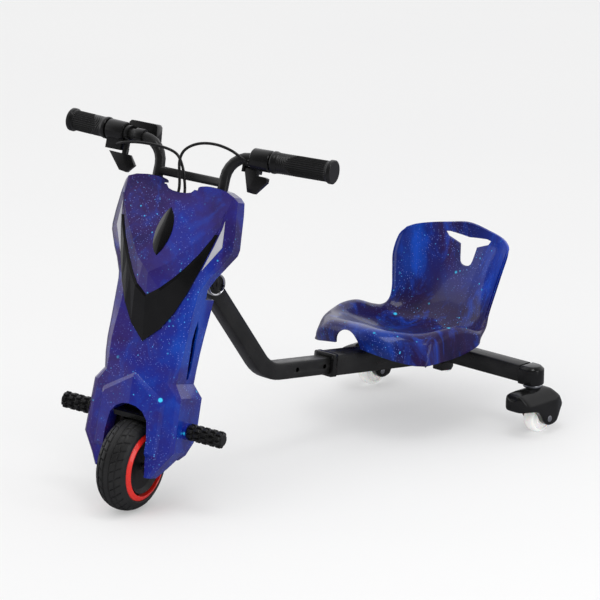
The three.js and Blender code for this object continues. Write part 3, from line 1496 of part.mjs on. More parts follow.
function casterAxle() {
  const end = hoodHalf + axleStand;
  const head = hoodHalf + seatGap;
  const profile = [
    [0, -end], [casterHeadRadius, -end], [casterHeadRadius, -head], [casterAxleRadius, -head],
    [casterAxleRadius, head], [casterHeadRadius, head], [casterHeadRadius, end], [0, end],
  ];
  return turned(profile, v3(0, casterTrail, casterRadius), xAxis, smallSides);
}

// Half profile of a caster wheel: share of its radius, share of half its width
const casterShares = [
  [0.45, 1.00], [0.50, 0.75], [0.74, 0.75], [0.80, 0.97], [0.93, 0.86], [1.00, 0.30],
];

function casterWheel() {
  const bore = casterAxleRadius + seatGap;
  const half = casterShares.map(([r, x]) => [r * casterRadius, x * casterHalf]);
  const other = half.map(([r, x]) => [r, -x]).reverse();
  const profile = [[bore, casterHalf], ...half, ...other, [bore, -casterHalf], [bore, casterHalf]];
  return turned(profile, v3(0, casterTrail, casterRadius), xAxis, 28);
}

// Finishes: colour, roughness, metalness
const finishes = {
  fairingPlastic: [0x2b3a8c, 0.25, 0],
  seatPlastic: [0x1c2f80, 0.25, 0],
  trimPlastic: [0x18181a, 0.35, 0],
  lampLens: [0x101014, 0.1, 0],
  sideLens: [0xc9c7d6, 0.3, 0],
  framePaint: [0x2a2b2d, 0.45, 0.2],
  moulding: [0x3a3a3b, 0.5, 0],
  rubber: [0x2a2a2b, 0.8, 0],
  tyreRubber: [0x303033, 0.85, 0],
  redPaint: [0xe0392b, 0.35, 0],
  steel: [0x9a9ca0, 0.35, 1],
  chrome: [0xd8dade, 0.12, 1],
  hubPaint: [0x1f2023, 0.5, 0.4],
  casterTread: [0xe6e6e2, 0.45, 0],
  shrinkWrap: [0x24427a, 0.5, 0],
  windowGlass: [0x0c1116, 0.08, 0],
};

function piece(name, solid, finish, parent) {
  const [color, roughness, metalness] = finishes[finish];
  const mesh = new THREE.Mesh(geometryOf(solid), new THREE.MeshStandardMaterial({ color, roughness, metalness }));
  mesh.name = name;
  parent.add(mesh);
  return mesh;
}

const sides = { left: 1, right: -1 };
const eachSide = (make) => Object.entries(sides).forEach(([word, side]) => make(word, side));

function buildSteering(parent) {
  piece('fork', fork(), 'framePaint', parent);
  piece('front_shell', frontShell(), 'fairingPlastic', parent);
  piece('rear_shell', rearShell(), 'fairingPlastic', parent);
  piece('front_trim_v', frontTrim(), 'trimPlastic', parent);
  piece('lamp_lens', leafLens(0, lensDepth - fairingWall), 'lampLens', parent);
  piece('battery_pack', batteryPack(), 'shrinkWrap', parent);
  piece('motor_controller', motorController(), 'steel', parent);
  piece('stem_clamp', stemClamp(), 'framePaint', parent);
  piece('stem_cap', stemCap(), 'framePaint', parent);
  piece('handlebar', handlebar(), 'framePaint', parent);
  piece('grip_left', grip(1, leftGripStart), 'rubber', parent);
  piece('grip_right', grip(-1, rightGripStart), 'rubber', parent);
  piece('throttle_housing', throttleHousing(), 'moulding', parent);
  piece('throttle_paddle', throttlePaddle(), 'moulding', parent);
  piece('display_housing', displayHousing(), 'moulding', parent);
  piece('display_window', displayWindow(), 'windowGlass', parent);
  piece('brake_perch', brakePerch(), 'moulding', parent);
  piece('brake_lever', brakeLever(), 'moulding', parent);
  piece('throttle_cable', cable(throttleShares, throttleInner, throttleCableSteps), 'rubber', parent);
  piece('brake_cable', cable(brakeShares, perchInner, brakeCableSteps), 'rubber', parent);
  const wheel = new THREE.Group();
  wheel.position.set(0, -forkOffset, -forkOffset * Math.tan(rakeAngle));
  parent.add(wheel);
  piece('motor_axle', motorAxle(), 'steel', wheel);
  piece('tyre', tyre(), 'tyreRubber', wheel);
  piece('motor_hub', motorHub(), 'hubPaint', wheel);
  eachSide((word, side) => {
    piece(`axle_nut_${word}`, axleNut(side), 'steel', wheel);
    piece(`rim_ring_${word}`, rimRing(side), 'redPaint', wheel);
    piece(`side_lens_${word}`, sideLens(side, 0, sideStand, fairingWall), 'sideLens', parent);
    piece(`peg_core_${word}`, pegCore(side), 'framePaint', parent);
    piece(`peg_rubber_${word}`, pegRubber(side), 'rubber', parent);
  });
}

function buildFrame(parent) {
  piece('front_frame', frontFrame(), 'framePaint', parent);
  piece('headset_cup_lower', headsetCup(headLow, 1), 'steel', parent);
  piece('headset_cup_upper', headsetCup(headTop, -1), 'steel', parent);
  piece('switch_bezel', switchBezel(), 'chrome', parent);
  piece('switch_core', switchCore(), 'moulding', parent);
  piece('beam_slider', beamSlider(), 'moulding', parent);
}

function buildRear(parent) {
  piece('rear_frame', rearFrame(), 'framePaint', parent);
  piece('sleeve_collar', sleeveCollar(), 'moulding', parent);
  piece('seat_shell', seatShell(), 'seatPlastic', parent);
  piece('seat_mount', seatMount(), 'framePaint', parent);
  seatBoltSpots().forEach((spot, i) => piece(`seat_bolt_${i + 1}`, seatBolt(spot), 'steel', parent));
  piece('anti_tip_bracket', antiTipBracket(), 'framePaint', parent);
  piece('anti_tip_wheel', antiTipWheel(), 'casterTread', parent);
  eachSide((word, side) => {
    piece(`cross_cap_${word}`, crossCap(side), 'moulding', parent);
    piece(`caster_stem_${word}`, casterStem(side), 'steel', parent);
    const caster = new THREE.Group();
    caster.position.set(side * (casterSpacing / 2), rearReach, 0);
    parent.add(caster);
    piece(`caster_hood_${word}`, casterHood(), 'moulding', caster);
    piece(`caster_axle_${word}`, casterAxle(), 'steel', caster);
    piece(`caster_wheel_${word}`, casterWheel(), 'casterTread', caster);
  });
}

function buildTrike() {
  const trike = new THREE.Group();
  trike.name = 'drift_trike';
  const body = new THREE.Group();
  trike.add(body);
  buildFrame(body);
  buildRear(body);
  const raked = new THREE.Group();
  raked.position.set(0, 0, wheelRadius);
  raked.rotation.x = -rakeAngle;
  body.add(raked);
  const steered = new THREE.Group();
  steered.rotation.z = steerAngle;
  raked.add(steered);
  buildSteering(steered);
  trike.updateMatrixWorld(true);
  const box = new THREE.Box3().setFromObject(trike, true);
  const centre = box.getCenter(v3());
  body.position.set(-centre.x, -centre.y, -box.min.z);
  return trike;
}

export default buildTrike();
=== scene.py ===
# %% [markdown]
# # The looks of a drift trike
# The imported part gives every rigid piece at its real size. This script dresses it: each
# solid gets a smooth copy with its real finish, and the pieces whose form is finer than the
# solid, such as the tyre's tread, the ribbed grips, the seat skin and the moulded shells,
# are worked out anew as surfaces and stand in for their solids.

# %% Start
import json
import math

import bmesh
import bpy
import numpy as np
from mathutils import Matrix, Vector

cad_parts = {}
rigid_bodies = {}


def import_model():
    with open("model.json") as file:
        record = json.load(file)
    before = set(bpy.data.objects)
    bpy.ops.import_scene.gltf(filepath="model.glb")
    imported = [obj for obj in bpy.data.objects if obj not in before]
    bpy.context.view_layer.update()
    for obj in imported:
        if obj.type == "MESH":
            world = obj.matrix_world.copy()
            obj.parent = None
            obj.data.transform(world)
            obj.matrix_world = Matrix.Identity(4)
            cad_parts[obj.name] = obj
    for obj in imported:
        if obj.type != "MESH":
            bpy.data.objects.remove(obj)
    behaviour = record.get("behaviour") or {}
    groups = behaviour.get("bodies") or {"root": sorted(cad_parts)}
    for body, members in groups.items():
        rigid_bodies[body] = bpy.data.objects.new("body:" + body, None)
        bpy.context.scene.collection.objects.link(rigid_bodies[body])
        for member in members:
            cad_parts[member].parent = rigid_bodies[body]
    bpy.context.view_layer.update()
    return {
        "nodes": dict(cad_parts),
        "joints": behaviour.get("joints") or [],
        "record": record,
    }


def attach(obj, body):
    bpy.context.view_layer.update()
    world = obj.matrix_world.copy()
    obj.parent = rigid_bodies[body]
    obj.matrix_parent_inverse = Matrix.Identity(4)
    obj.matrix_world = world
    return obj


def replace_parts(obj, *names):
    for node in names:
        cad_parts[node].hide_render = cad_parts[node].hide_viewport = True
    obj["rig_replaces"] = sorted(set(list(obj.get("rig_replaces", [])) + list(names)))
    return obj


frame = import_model()
MM = 0.001
bodies = {node: body for body, members in frame["record"]["behaviour"]["bodies"].items() for node in members}
slots = {row["node"]: row["material_slot"] for row in frame["record"]["subparts"]}
print("solids:", len(frame["nodes"]))

# %% [markdown]
# ## The leaning, turned front end
# Everything on the fork is easiest to describe in a frame of its own: x across the wheel,
# y to the back, z up the steering axis. Three unit vectors carry such a point into the row
# frame. They come from the rake of the head tube and the angle the bars are turned by.

# %% Steering frame
RAKE = math.radians(15.0)
TURN = math.radians(16.0)
steering = next(j for j in frame["joints"] if j["name"] == "steering")
STEER_ORIGIN = np.array(steering["pos_m"])
GROUND_ORIGIN = STEER_ORIGIN - np.array([0.0, 0.0, 82.5 * MM])


def tilt(x, y, z):
    """Turn about the upright by TURN, then lean the top back by RAKE."""
    ahead = x * math.sin(TURN) + y * math.cos(TURN)
    return [
        x * math.cos(TURN) - y * math.sin(TURN),
        ahead * math.cos(RAKE) + z * math.sin(RAKE),
        z * math.cos(RAKE) - ahead * math.sin(RAKE),
    ]


STEER_AXES = np.array([tilt(1, 0, 0), tilt(0, 1, 0), tilt(0, 0, 1)])


def steer_point(points):
    """Millimetres in the steering frame to metres in the row frame: origin plus x, y, z along its axes."""
    return np.asarray(points, float) @ STEER_AXES * MM + STEER_ORIGIN


def ground_point(points):
    """Millimetres from the foot of the steering axis to metres in the row frame."""
    return np.asarray(points, float) * MM + GROUND_ORIGIN


print("steering axis", np.round(STEER_AXES[2], 4))

# %% [markdown]
# ## From a grid of points to a mesh
# Most new pieces here are a function of two parameters. The points come as one array, and
# the quads between them follow from index arithmetic, so no loop runs over vertices.

# %% Grid mesh
def grid_faces(rows, columns, round_rows, round_columns):
    """Quads (i, j), (i+1, j), (i+1, j+1), (i, j+1), taken modulo the grid where it closes on itself."""
    i, j = np.meshgrid(
        np.arange(rows if round_rows else rows - 1),
        np.arange(columns if round_columns else columns - 1),
        indexing="ij",
    )
    i2, j2 = (i + 1) % rows, (j + 1) % columns
    quads = np.stack([i * columns + j, i2 * columns + j, i2 * columns + j2, i * columns + j2], -1)
    return quads.reshape(-1, 4)


def mesh_object(name, points, faces):
    """An object at the origin with the given points and faces, its normals facing out."""
    mesh = bpy.data.meshes.new(name)
    mesh.from_pydata(np.asarray(points).reshape(-1, 3).tolist(), [], [list(map(int, f)) for f in faces])
    mesh.update()
    made = bpy.data.objects.new(name, mesh)
    bpy.context.scene.collection.objects.link(made)
    tidy_mesh(made)
    return made


def tidy_mesh(made, distance=1e-6):
    """Merge doubles and face every normal outward."""
    work = bmesh.new()
    work.from_mesh(made.data)
    bmesh.ops.remove_doubles(work, verts=work.verts, dist=distance)
    bmesh.ops.recalc_face_normals(work, faces=work.faces)
    work.to_mesh(made.data)
    work.free()


def shade(made, degrees):
    """Smooth shading, with a crease where faces meet at more than the given angle."""
    mesh = made.data
    mesh.polygons.foreach_set("use_smooth", np.ones(len(mesh.polygons), bool))
    mesh.set_sharp_from_angle(angle=math.radians(degrees))
    return made


def flatten(made):
    """Apply all modifiers of a piece and keep only its finished mesh."""
    bpy.context.view_layer.update()
    seen = made.evaluated_get(bpy.context.evaluated_depsgraph_get())
    finished = bpy.data.meshes.new_from_object(seen)
    made.modifiers.clear()
    made.data = finished
    return made


def smooth_rows(points, steps):
    """Cubic through all rows: each stretch is a Hermite curve.

    Its slope at a row is half the step from the row before to the row after.
    """
    count = len(points)
    t = np.linspace(0, count - 1, steps)
    k = np.minimum(t.astype(int), count - 2)
    s = (t - k).reshape((-1,) + (1,) * (points.ndim - 1))
    slope = np.gradient(points, axis=0)
    p0, p1, m0, m1 = points[k], points[k + 1], slope[k], slope[k + 1]
    return ((2 * s**3 - 3 * s**2 + 1) * p0 + (s**3 - 2 * s**2 + s) * m0
            + (3 * s**2 - 2 * s**3) * p1 + (s**3 - s**2) * m1)


print("a grid of 3 by 4 closed in columns has", len(grid_faces(3, 4, False, True)), "quads")

# %% [markdown]
# ## Paint, rubber, chrome
# Each finish is a Principled shader whose colour, roughness or bump comes from noise on the
# object's own coordinates, because real surfaces are never perfectly even. Nodes are made
# by three short helpers.

# %% Material helpers
BLACK, GREY, WHITE = (0.0, 0.0, 0.0, 1.0), (0.6, 0.6, 0.6, 1.0), (1.0, 1.0, 1.0, 1.0)


def principled(name, **sockets):
    """A material with its Principled shader's plain sockets set; returns material, nodes, links, shader."""
    made = bpy.data.materials.new(name)
    made.use_nodes = True
    nodes, links = made.node_tree.nodes, made.node_tree.links
    shader = next(n for n in nodes if n.type == "BSDF_PRINCIPLED")
    for key, value in sockets.items():
        shader.inputs[key.replace("_", " ")].default_value = value
    return made, nodes, links, shader


def rgb(red, green, blue):
    """A colour given as it is seen, 0 to 255, to linear light: a power of 2.4, with a straight foot."""
    seen = [c / 255 for c in (red, green, blue)]
    return tuple(((c + 0.055) / 1.055) ** 2.4 if c > 0.04 else c / 12.92 for c in seen) + (1.0,)


def noise(nodes, links, scale, detail=4.0, rough=0.5, twist=0.0, stretch=(1, 1, 1)):
    """Noise in object space, stretched along the axes."""
    place = nodes.new("ShaderNodeTexCoord")
    mapping = nodes.new("ShaderNodeMapping")
    mapping.inputs["Scale"].default_value = stretch
    links.new(place.outputs["Object"], mapping.inputs["Vector"])
    made = nodes.new("ShaderNodeTexNoise")
    made.inputs["Scale"].default_value = scale
    made.inputs["Detail"].default_value = detail
    made.inputs["Roughness"].default_value = rough
    made.inputs["Distortion"].default_value = twist
    links.new(mapping.outputs["Vector"], made.inputs["Vector"])
    return made.outputs["Fac"]


def ramp(nodes, links, source, stops):
    """A colour ramp with (place, colour) stops fed by a value."""
    made = nodes.new("ShaderNodeValToRGB")
    bar = made.color_ramp.elements
    while len(bar) < len(stops):
        bar.new(0.5)
    for element, (place, colour) in zip(bar, stops):
        element.position = place
        element.color = colour
    links.new(source, made.inputs["Fac"])
    return made.outputs["Color"]


def blend_colour(nodes, links, amount, first, second, kind="MIX"):
    """Mix two colours by an amount; each is a socket or a plain colour."""
    made = nodes.new("ShaderNodeMix")
    made.data_type = "RGBA"
    made.blend_type = kind
    for socket, value in ((made.inputs[0], amount), (made.inputs[6], first), (made.inputs[7], second)):
        if isinstance(value, (float, tuple)):
            socket.default_value = value
        else:
            links.new(value, socket)
    return made.outputs[2]


def bump(nodes, links, shader, height, strength, distance):
    """Raise the surface by a height value."""
    made = nodes.new("ShaderNodeBump")
    made.inputs["Strength"].default_value = strength
    made.inputs["Distance"].default_value = distance
    links.new(height, made.inputs["Height"])
    links.new(made.outputs["Normal"], shader.inputs["Normal"])


# %% [markdown]
# ## The starry print
# The shells carry a printed film under clear coat. It could be a picture on a UV map, but a
# pattern that is worked out at each point of space needs no unwrapping and has no seam. So
# here is a nebula of our own: noise chooses between navy, violet and blue, and stars are
# the places that lie near the points of a Voronoi pattern. As the skin cuts the cells at
# all depths, the dots come out in many sizes, as they should. The finest two layers are
# multiplied by a slow noise, which gathers them in clouds.

# %% Starry print
def stars(nodes, links, scale, radius, soft, rarity):
    """White within a radius of the points of those Voronoi cells whose random value beats the rarity."""
    place = nodes.new("ShaderNodeTexCoord")
    cells = nodes.new("ShaderNodeTexVoronoi")
    cells.inputs["Scale"].default_value = scale
    links.new(place.outputs["Object"], cells.inputs["Vector"])
    disc = ramp(nodes, links, cells.outputs["Distance"],
                ((0.0, WHITE), (max(radius - soft, 0.001), WHITE), (radius, BLACK)))
    lot = nodes.new("ShaderNodeSeparateColor")
    links.new(cells.outputs["Color"], lot.inputs["Color"])
    chosen = ramp(nodes, links, lot.outputs[0], ((rarity, BLACK), (min(rarity + 0.4, 1.0), WHITE)))
    return blend_colour(nodes, links, 1.0, disc, chosen, "MULTIPLY")


# Cells per metre, radius and soft edge in cells, rarity, whether gathered in clouds, colour
star_layers = (
    (300.0, 0.260, 0.12, 0.30, True, rgb(118, 134, 222)),
    (130.0, 0.170, 0.07, 0.50, True, rgb(84, 170, 245)),
    (70.0, 0.130, 0.05, 0.60, False, rgb(64, 190, 252)),
    (26.0, 0.125, 0.05, 0.25, False, rgb(50, 206, 255)),
)
NEBULA_SCALE, CLOUD_SCALE, SHADE_START, SHADE_STEP = 6.0, 9.0, 0.32, 0.09
DIM = (0.12, 0.12, 0.12, 1.0)


def sideways_share(nodes, links, turn_over, low):
    """A share that grows with x at the given rate, times one that is 0 below the given height.

    The height share is handed back too: it rises from 0 to 1 over 50 mm, and below it lies the painted shade.
    """
    place = nodes.new("ShaderNodeTexCoord")
    across = nodes.new("ShaderNodeSeparateXYZ")
    links.new(place.outputs["Object"], across.inputs["Vector"])
    shifted = nodes.new("ShaderNodeMath")
    shifted.operation = "MULTIPLY_ADD"
    links.new(across.outputs["X"], shifted.inputs[0])
    shifted.inputs[1].default_value = turn_over
    shifted.inputs[2].default_value = 0.42 + 0.02 * turn_over
    aside = ramp(nodes, links, shifted.outputs[0], ((0.25, BLACK), (0.75, WHITE)))
    above = ramp(nodes, links, across.outputs["Z"], ((low, BLACK), (low + 0.05, WHITE)))
    return blend_colour(nodes, links, 1.0, aside, above, "MULTIPLY"), above


def starry_print(name, shades, second, stretch, coat, gloss, turn_over, low):
    """Nebula shades by noise, turning into a second set toward the rider's left and mixed toward the darkest
    shade below a height as painted shade, then layers of stars.
    """
    made, nodes, links, shader = principled(
        name, Roughness=0.32, Specular_IOR_Level=gloss, Coat_Weight=coat, Coat_Roughness=0.06)
    cloud = noise(nodes, links, NEBULA_SCALE, 5.0, 0.55, 0.8, stretch)
    places = [SHADE_START + SHADE_STEP * i for i in range(len(shades))]
    base = ramp(nodes, links, cloud, list(zip(places, shades)))
    other = ramp(nodes, links, cloud, list(zip(places, second)))
    turned, above = sideways_share(nodes, links, turn_over, low)
    base = blend_colour(nodes, links, turned, base, other)
    # Below the height low the print is mixed 45% toward its darkest shade: partly the print's violet, partly
    # painted shade of the skirt under the rim.
    base = blend_colour(nodes, links, above, blend_colour(nodes, links, 0.45, base, shades[0]), base)
    wisps = noise(nodes, links, 3 * NEBULA_SCALE, 8.0, 0.65, 1.5, stretch)
    wisps = ramp(nodes, links, wisps, ((0.52, BLACK), (0.74, GREY)))
    base = blend_colour(nodes, links, wisps, base, second[-1])
    band = ramp(nodes, links, noise(nodes, links, CLOUD_SCALE), ((0.42, DIM), (0.60, WHITE)))
    for cells, radius, soft, rarity, gathered, colour in star_layers:
        dots = stars(nodes, links, cells, radius, soft, rarity)
        if gathered:
            dots = blend_colour(nodes, links, 1.0, dots, band, "MULTIPLY")
        base = blend_colour(nodes, links, dots, base, colour)
    links.new(base, shader.inputs["Base Color"])
    bump(nodes, links, shader, noise(nodes, links, 45.0, 2.0), 0.04, 0.0006)
    return made


fairing_shades = [rgb(16, 10, 70), rgb(44, 20, 84), rgb(44, 26, 104), rgb(24, 22, 122), rgb(4, 44, 150)]
fairing_second = [rgb(14, 14, 88), rgb(36, 22, 96), rgb(34, 30, 120), rgb(12, 36, 142), rgb(2, 62, 170)]
seat_shades = [rgb(14, 8, 54), rgb(46, 24, 72), rgb(34, 26, 88), rgb(16, 36, 118), rgb(4, 58, 156)]
seat_second = [rgb(4, 26, 112), rgb(8, 34, 132), rgb(2, 50, 160), rgb(0, 62, 184), rgb(4, 82, 214)]
starry_fairing = starry_print("starry_fairing", fairing_shades, fairing_second, (1.0, 1.0, 0.7),
                              coat=0.8, gloss=0.4, turn_over=3.0, low=0.0)
# On the seat the lower skirt, below 0.205 m, gets this painted shade; on the fairing the line lies at the
# ground.
starry_seat = starry_print("starry_seat", seat_shades, seat_second, (1.0, 1.0, 0.3),
                           coat=0.35, gloss=0.25, turn_over=7.0, low=0.205)
print("star layers:", len(star_layers), "in", starry_fairing.name, "and", starry_seat.name)

# %% [markdown]
# ## Plain finishes
# The other finishes are black coats, rubbers, bare metal and clear plastic. Each could be
# one flat colour, but under soft light that looks like paper. Two helpers give a tone, and
# for the black ones a roughness too, that wander a little over the piece, with a fine grain
# as bump. The numbers are the tone, the roughness, the grain per metre and its depth.

# %% Plain finishes
def satin_black(name, level, roughness, grain, depth, **more):
    """A dark coat whose tone and roughness wander a little, with a fine grain."""
    made, nodes, links, shader = principled(name, Roughness=roughness, **more)
    wander = noise(nodes, links, 30.0, 3.0)
    low, high = (tuple([level * k] * 3) + (1.0,) for k in (0.8, 1.25))
    links.new(ramp(nodes, links, wander, ((0.35, low), (0.65, high))), shader.inputs["Base Color"])
    gloss = [(place, (k, k, k, 1)) for place, k in ((0.3, roughness * 0.88), (0.7, roughness * 1.15))]
    links.new(ramp(nodes, links, noise(nodes, links, 70.0, 3.0), gloss), shader.inputs["Roughness"])
    bump(nodes, links, shader, noise(nodes, links, grain, 2.0), 0.25, depth)
    return made


def tinted(name, colour, roughness, metal=0.0, grain=400.0, depth=0.00005, **more):
    """A coloured finish with small changes of tone and a fine grain."""
    made, nodes, links, shader = principled(name, Metallic=metal, Roughness=roughness, **more)
    low = tuple(0.9 * c for c in colour[:3]) + (1.0,)
    links.new(ramp(nodes, links, noise(nodes, links, 40.0, 3.0), ((0.35, low), (0.65, colour))),
              shader.inputs["Base Color"])
    bump(nodes, links, shader, noise(nodes, links, grain, 2.0), 0.15, depth)
    return made


finish = {
    "fairing_plastic": starry_fairing,
    "seat_plastic": starry_seat,
    "trim_plastic": satin_black("black_trim", 0.004, 0.16, 900.0, 0.00001),
    "lamp_lens": satin_black("smoked_lens", 0.003, 0.10, 200.0, 0.00001, Coat_Weight=0.6),
    # The pale grey of the side facets is painted glare of the clear coat.
    "side_lens": tinted("pale_side_facet_painted_glare", rgb(176, 176, 184), 0.28, grain=700.0),
    "frame_paint": satin_black("powder_coat", 0.012, 0.30, 1500.0, 0.00005),
    "black_moulding": satin_black("black_moulding", 0.006, 0.20, 1300.0, 0.00002),
    "black_rubber": satin_black("black_rubber", 0.007, 0.30, 900.0, 0.00003),
    "tyre_rubber": satin_black("tyre_rubber", 0.014, 0.48, 700.0, 0.00010),
    "red_paint": tinted("red_rim_paint", rgb(232, 40, 30), 0.3, Coat_Weight=0.5),
    "zinc_steel": tinted("zinc_steel", rgb(190, 192, 196), 0.3, 1.0),
    "chrome_ring": tinted("polished_chrome", rgb(228, 229, 232), 0.08, 1.0),
    "hub_paint": satin_black("hub_paint", 0.014, 0.4, 800.0, 0.00005, Metallic=0.3),
    # A faint white glow is painted into the clear tread to keep it white in the shade; it is no lamp.
    "caster_tread": tinted(
        "clear_urethane_painted_glow", rgb(250, 250, 248), 0.16, grain=300.0, Subsurface_Weight=0.25,
        Subsurface_Scale=0.01, Emission_Color=(1.0, 1.0, 0.98, 1.0), Emission_Strength=0.12),
    "shrink_wrap": tinted("blue_sleeve", rgb(36, 66, 122), 0.45),
    "window_glass": satin_black("dark_window", 0.004, 0.06, 100.0, 0.00001, Coat_Weight=1.0),
}
print("finishes:", sorted(finish))

# %% [markdown]
# ## Dressing the solids
# A imported solid is made of loose triangles, which can only look faceted. A merged copy can
# be shaded smoothly where its faces meet at small angles, and keeps its creases elsewhere.
# The solid itself stays as it is. The new piece says which solids it stands for and which
# body it moves with, and takes the finish of the solid's material slot, so the joints still work.

# %% Dress helpers
def dress(made, node, *more):
    """The piece takes the node's finish and body and stands for it, and for any further nodes."""
    made.data.materials.clear()
    made.data.materials.append(finish[slots[node]])
    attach(made, bodies[node])
    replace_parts(made, node, *more)
    return made


def copy_of(node, name):
    """A merged copy of a solid's mesh."""
    made = bpy.data.objects.new(name, frame["nodes"][node].data.copy())
    bpy.context.scene.collection.objects.link(made)
    made.data.materials.clear()
    tidy_mesh(made, 2e-6)
    return made


def soften(made, voxel, passes):
    """Remesh with small cubes and relax, so that every edge gets the radius that a moulding has."""
    cubes = made.modifiers.new("cubes", "REMESH")
    cubes.mode = "VOXEL"
    cubes.voxel_size = voxel * MM
    relax = made.modifiers.new("relax", "SMOOTH")
    relax.factor = 0.5
    relax.iterations = passes
    return flatten(made)


# %% [markdown]
# ## Moulded shells
# The fairing halves have crisp moulded edges with a small radius. A remesh could round them,
# but it frays thin walls, so a bevel does it: flat neighbours of the solid's mesh are first
# dissolved into whole faces, then each crease is rounded. Weighted normals keep the wide
# faces flat and let only the narrow bevels bend the light, which draws the edges.

# %% Moulded shells
def bevelled(made, width, segments, degrees):
    """Dissolve flat regions and round every crease sharper than the given angle."""
    flat = made.modifiers.new("planar", "DECIMATE")
    flat.decimate_type = "DISSOLVE"
    flat.angle_limit = math.radians(0.6)
    flatten(made)
    edge = made.modifiers.new("edge", "BEVEL")
    edge.width = width * MM
    edge.segments = segments
    edge.limit_method = "ANGLE"
    edge.angle_limit = math.radians(degrees)
    edge.use_clamp_overlap = True
    flatten(made)
    shade(made, 50)
    level = made.modifiers.new("level", "WEIGHTED_NORMAL")
    level.keep_sharp = True
    level.weight = 80
    return flatten(made)


for node, width, segments in (("front_shell", 1.4, 3), ("rear_shell", 1.4, 3), ("front_trim_v", 0.7, 2)):
    piece = bevelled(copy_of(node, node + "_skin"), width, segments, 9)
    dress(piece, node)
    print(node, "faces", len(piece.data.polygons))

# %% [markdown]
# ## Caster hoods
# Each hood is a soft dome with a beak over the wheel. A block is cut to the side outline,
# to the plan and to an arch seen from the front, as a maker saws a blank from three sides.
# Then it is remeshed into small cubes and relaxed until all edges are round, and last the
# wheel well and the axle hole are cut into it with clean edges.

# %% Caster hoods
HOOD_REACH, HOOD_TOP, HOOD_HALF, HOOD_NOSE = 60.0, 89.0, 28.0, 32.0
HOOD_WIDE = 1.04 * HOOD_HALF
HOOD_FOOT, HOOD_ROOF = -10.0, 120.0
ARCH_FOOT, ARCH_RISE = 54.0, 38.0
HOOD_VOXEL, HOOD_PASSES = 1.7, 42
SWIVEL_X, SWIVEL_Y = 217.0, 798.0
CASTER_TRAIL, CASTER_RADIUS, CASTER_HALF, CASTER_BORE = 17.0, 31.0, 12.0, 4.3
WELL_GAP = 2.5
# Side outline as shares of the reach behind the swivel axis and of the height
hood_side = [
    (-0.93, 0.60), (-1.04, 0.68), (-1.05, 0.82), (-0.92, 0.96), (-0.62, 1.03), (0.30, 1.03), (0.60, 0.96),
    (0.86, 0.79), (1.11, 0.55), (0.96, 0.47), (0.82, 0.34), (0.68, 0.23), (0.50, 0.19), (0.28, 0.19),
    (0.10, 0.28), (-0.02, 0.42), (-0.17, 0.53), (-0.50, 0.59)]
# Tail of the plan as shares of the half width and of the reach
hood_tail = [(1.0, 0.66), (0.80, 1.0), (0.46, 1.26), (-0.46, 1.26), (-0.80, 1.0), (-1.0, 0.66)]


def flat_prism(name, outline, axis, low, high, to_row):
    """A closed prism on an outline in the plane square to an axis (0 for x, 2 for z), between two places."""
    outline = np.array(outline, float)
    count = len(outline)
    ends = [np.insert(outline, axis, place, 1) for place in (low, high)]
    faces = [list(range(count)), list(range(2 * count - 1, count - 1, -1))]
    faces += [[i, count + i, count + (i + 1) % count, (i + 1) % count] for i in range(count)]
    return mesh_object(name, to_row(np.vstack(ends)), faces)


def carve(made, cutter, operation="DIFFERENCE"):
    """Cut a piece with another one, or keep what they share, and delete the other one."""
    cut = made.modifiers.new("cut", "BOOLEAN")
    cut.object = cutter
    cut.operation = operation
    cut.solver = "EXACT"
    flatten(made)
    bpy.data.objects.remove(cutter)
    return made


def hood(name, x):
    """The dome about the swivel axis at x, trailing to the rear."""
    def here(points):
        return ground_point(points + [x, SWIVEL_Y, 0.0])
    turn = np.linspace(-math.pi, 0, 25)
    nose = [(HOOD_WIDE * math.cos(a), -HOOD_NOSE + HOOD_WIDE * math.sin(a)) for a in turn]
    plan = nose + [(a * HOOD_WIDE, b * HOOD_REACH) for a, b in hood_tail]
    side = [(y * HOOD_REACH, z * HOOD_TOP) for y, z in hood_side]
    half_turn = np.linspace(0, math.pi, 25)
    vault = [(HOOD_WIDE * math.cos(a), ARCH_FOOT + ARCH_RISE * math.sin(a)) for a in half_turn]
    arch = [(HOOD_WIDE, -5)] + vault + [(-HOOD_WIDE, -5)]
    made = flat_prism(name, side, 0, -HOOD_WIDE, HOOD_WIDE, here)
    carve(made, flat_prism("hood_plan", plan, 2, HOOD_FOOT, HOOD_ROOF, here), "INTERSECT")
    carve(made, flat_prism("hood_arch", arch, 1, -90, 110, here), "INTERSECT")
    soften(made, HOOD_VOXEL, HOOD_PASSES)
    wide = CASTER_RADIUS + WELL_GAP
    circle = np.linspace(0, 2 * math.pi, 49)[:-1]
    circle = np.column_stack([np.cos(circle), np.sin(circle)])
    for radius, half in ((wide, CASTER_HALF + WELL_GAP), (CASTER_BORE, HOOD_HALF + 12)):
        hole = [CASTER_TRAIL, CASTER_RADIUS] + radius * circle
        carve(made, flat_prism("well", hole, 0, -half, half, here))
    below = [(CASTER_TRAIL - wide, -5), (CASTER_TRAIL + wide, -5),
             (CASTER_TRAIL + wide, CASTER_RADIUS), (CASTER_TRAIL - wide, CASTER_RADIUS)]
    return carve(made, flat_prism("below", below, 0, -CASTER_HALF - WELL_GAP, CASTER_HALF + WELL_GAP, here))


for side, word in ((SWIVEL_X, "left"), (-SWIVEL_X, "right")):
    piece = dress(shade(hood("hood_dome_" + word, side), 50), "caster_hood_" + word)
    print(piece.name, "faces", len(piece.data.polygons))

# %% [markdown]
# ## Leaf lens
# The dark leaf in the panel is a shallow dome of smoked plastic. A bevel would only round its
# rim, so the whole face is worked out: rings of its outline shrink toward the middle while
# they rise, and a wall and a flat back close it.

# %% Leaf lens
FAIRING_HALF, FAIRING_RISE, FAIRING_FOOT, FAIRING_TOP = 122.0, 510.0, 16.0, 494.0
PANEL_SET, PANEL_SLOPE = 12.4, 0.377
LEAF_BACK, LEAF_RIM, LEAF_SHOULDER, LEAF_RISE = -5.0, 0.4, 0.9, 3.2
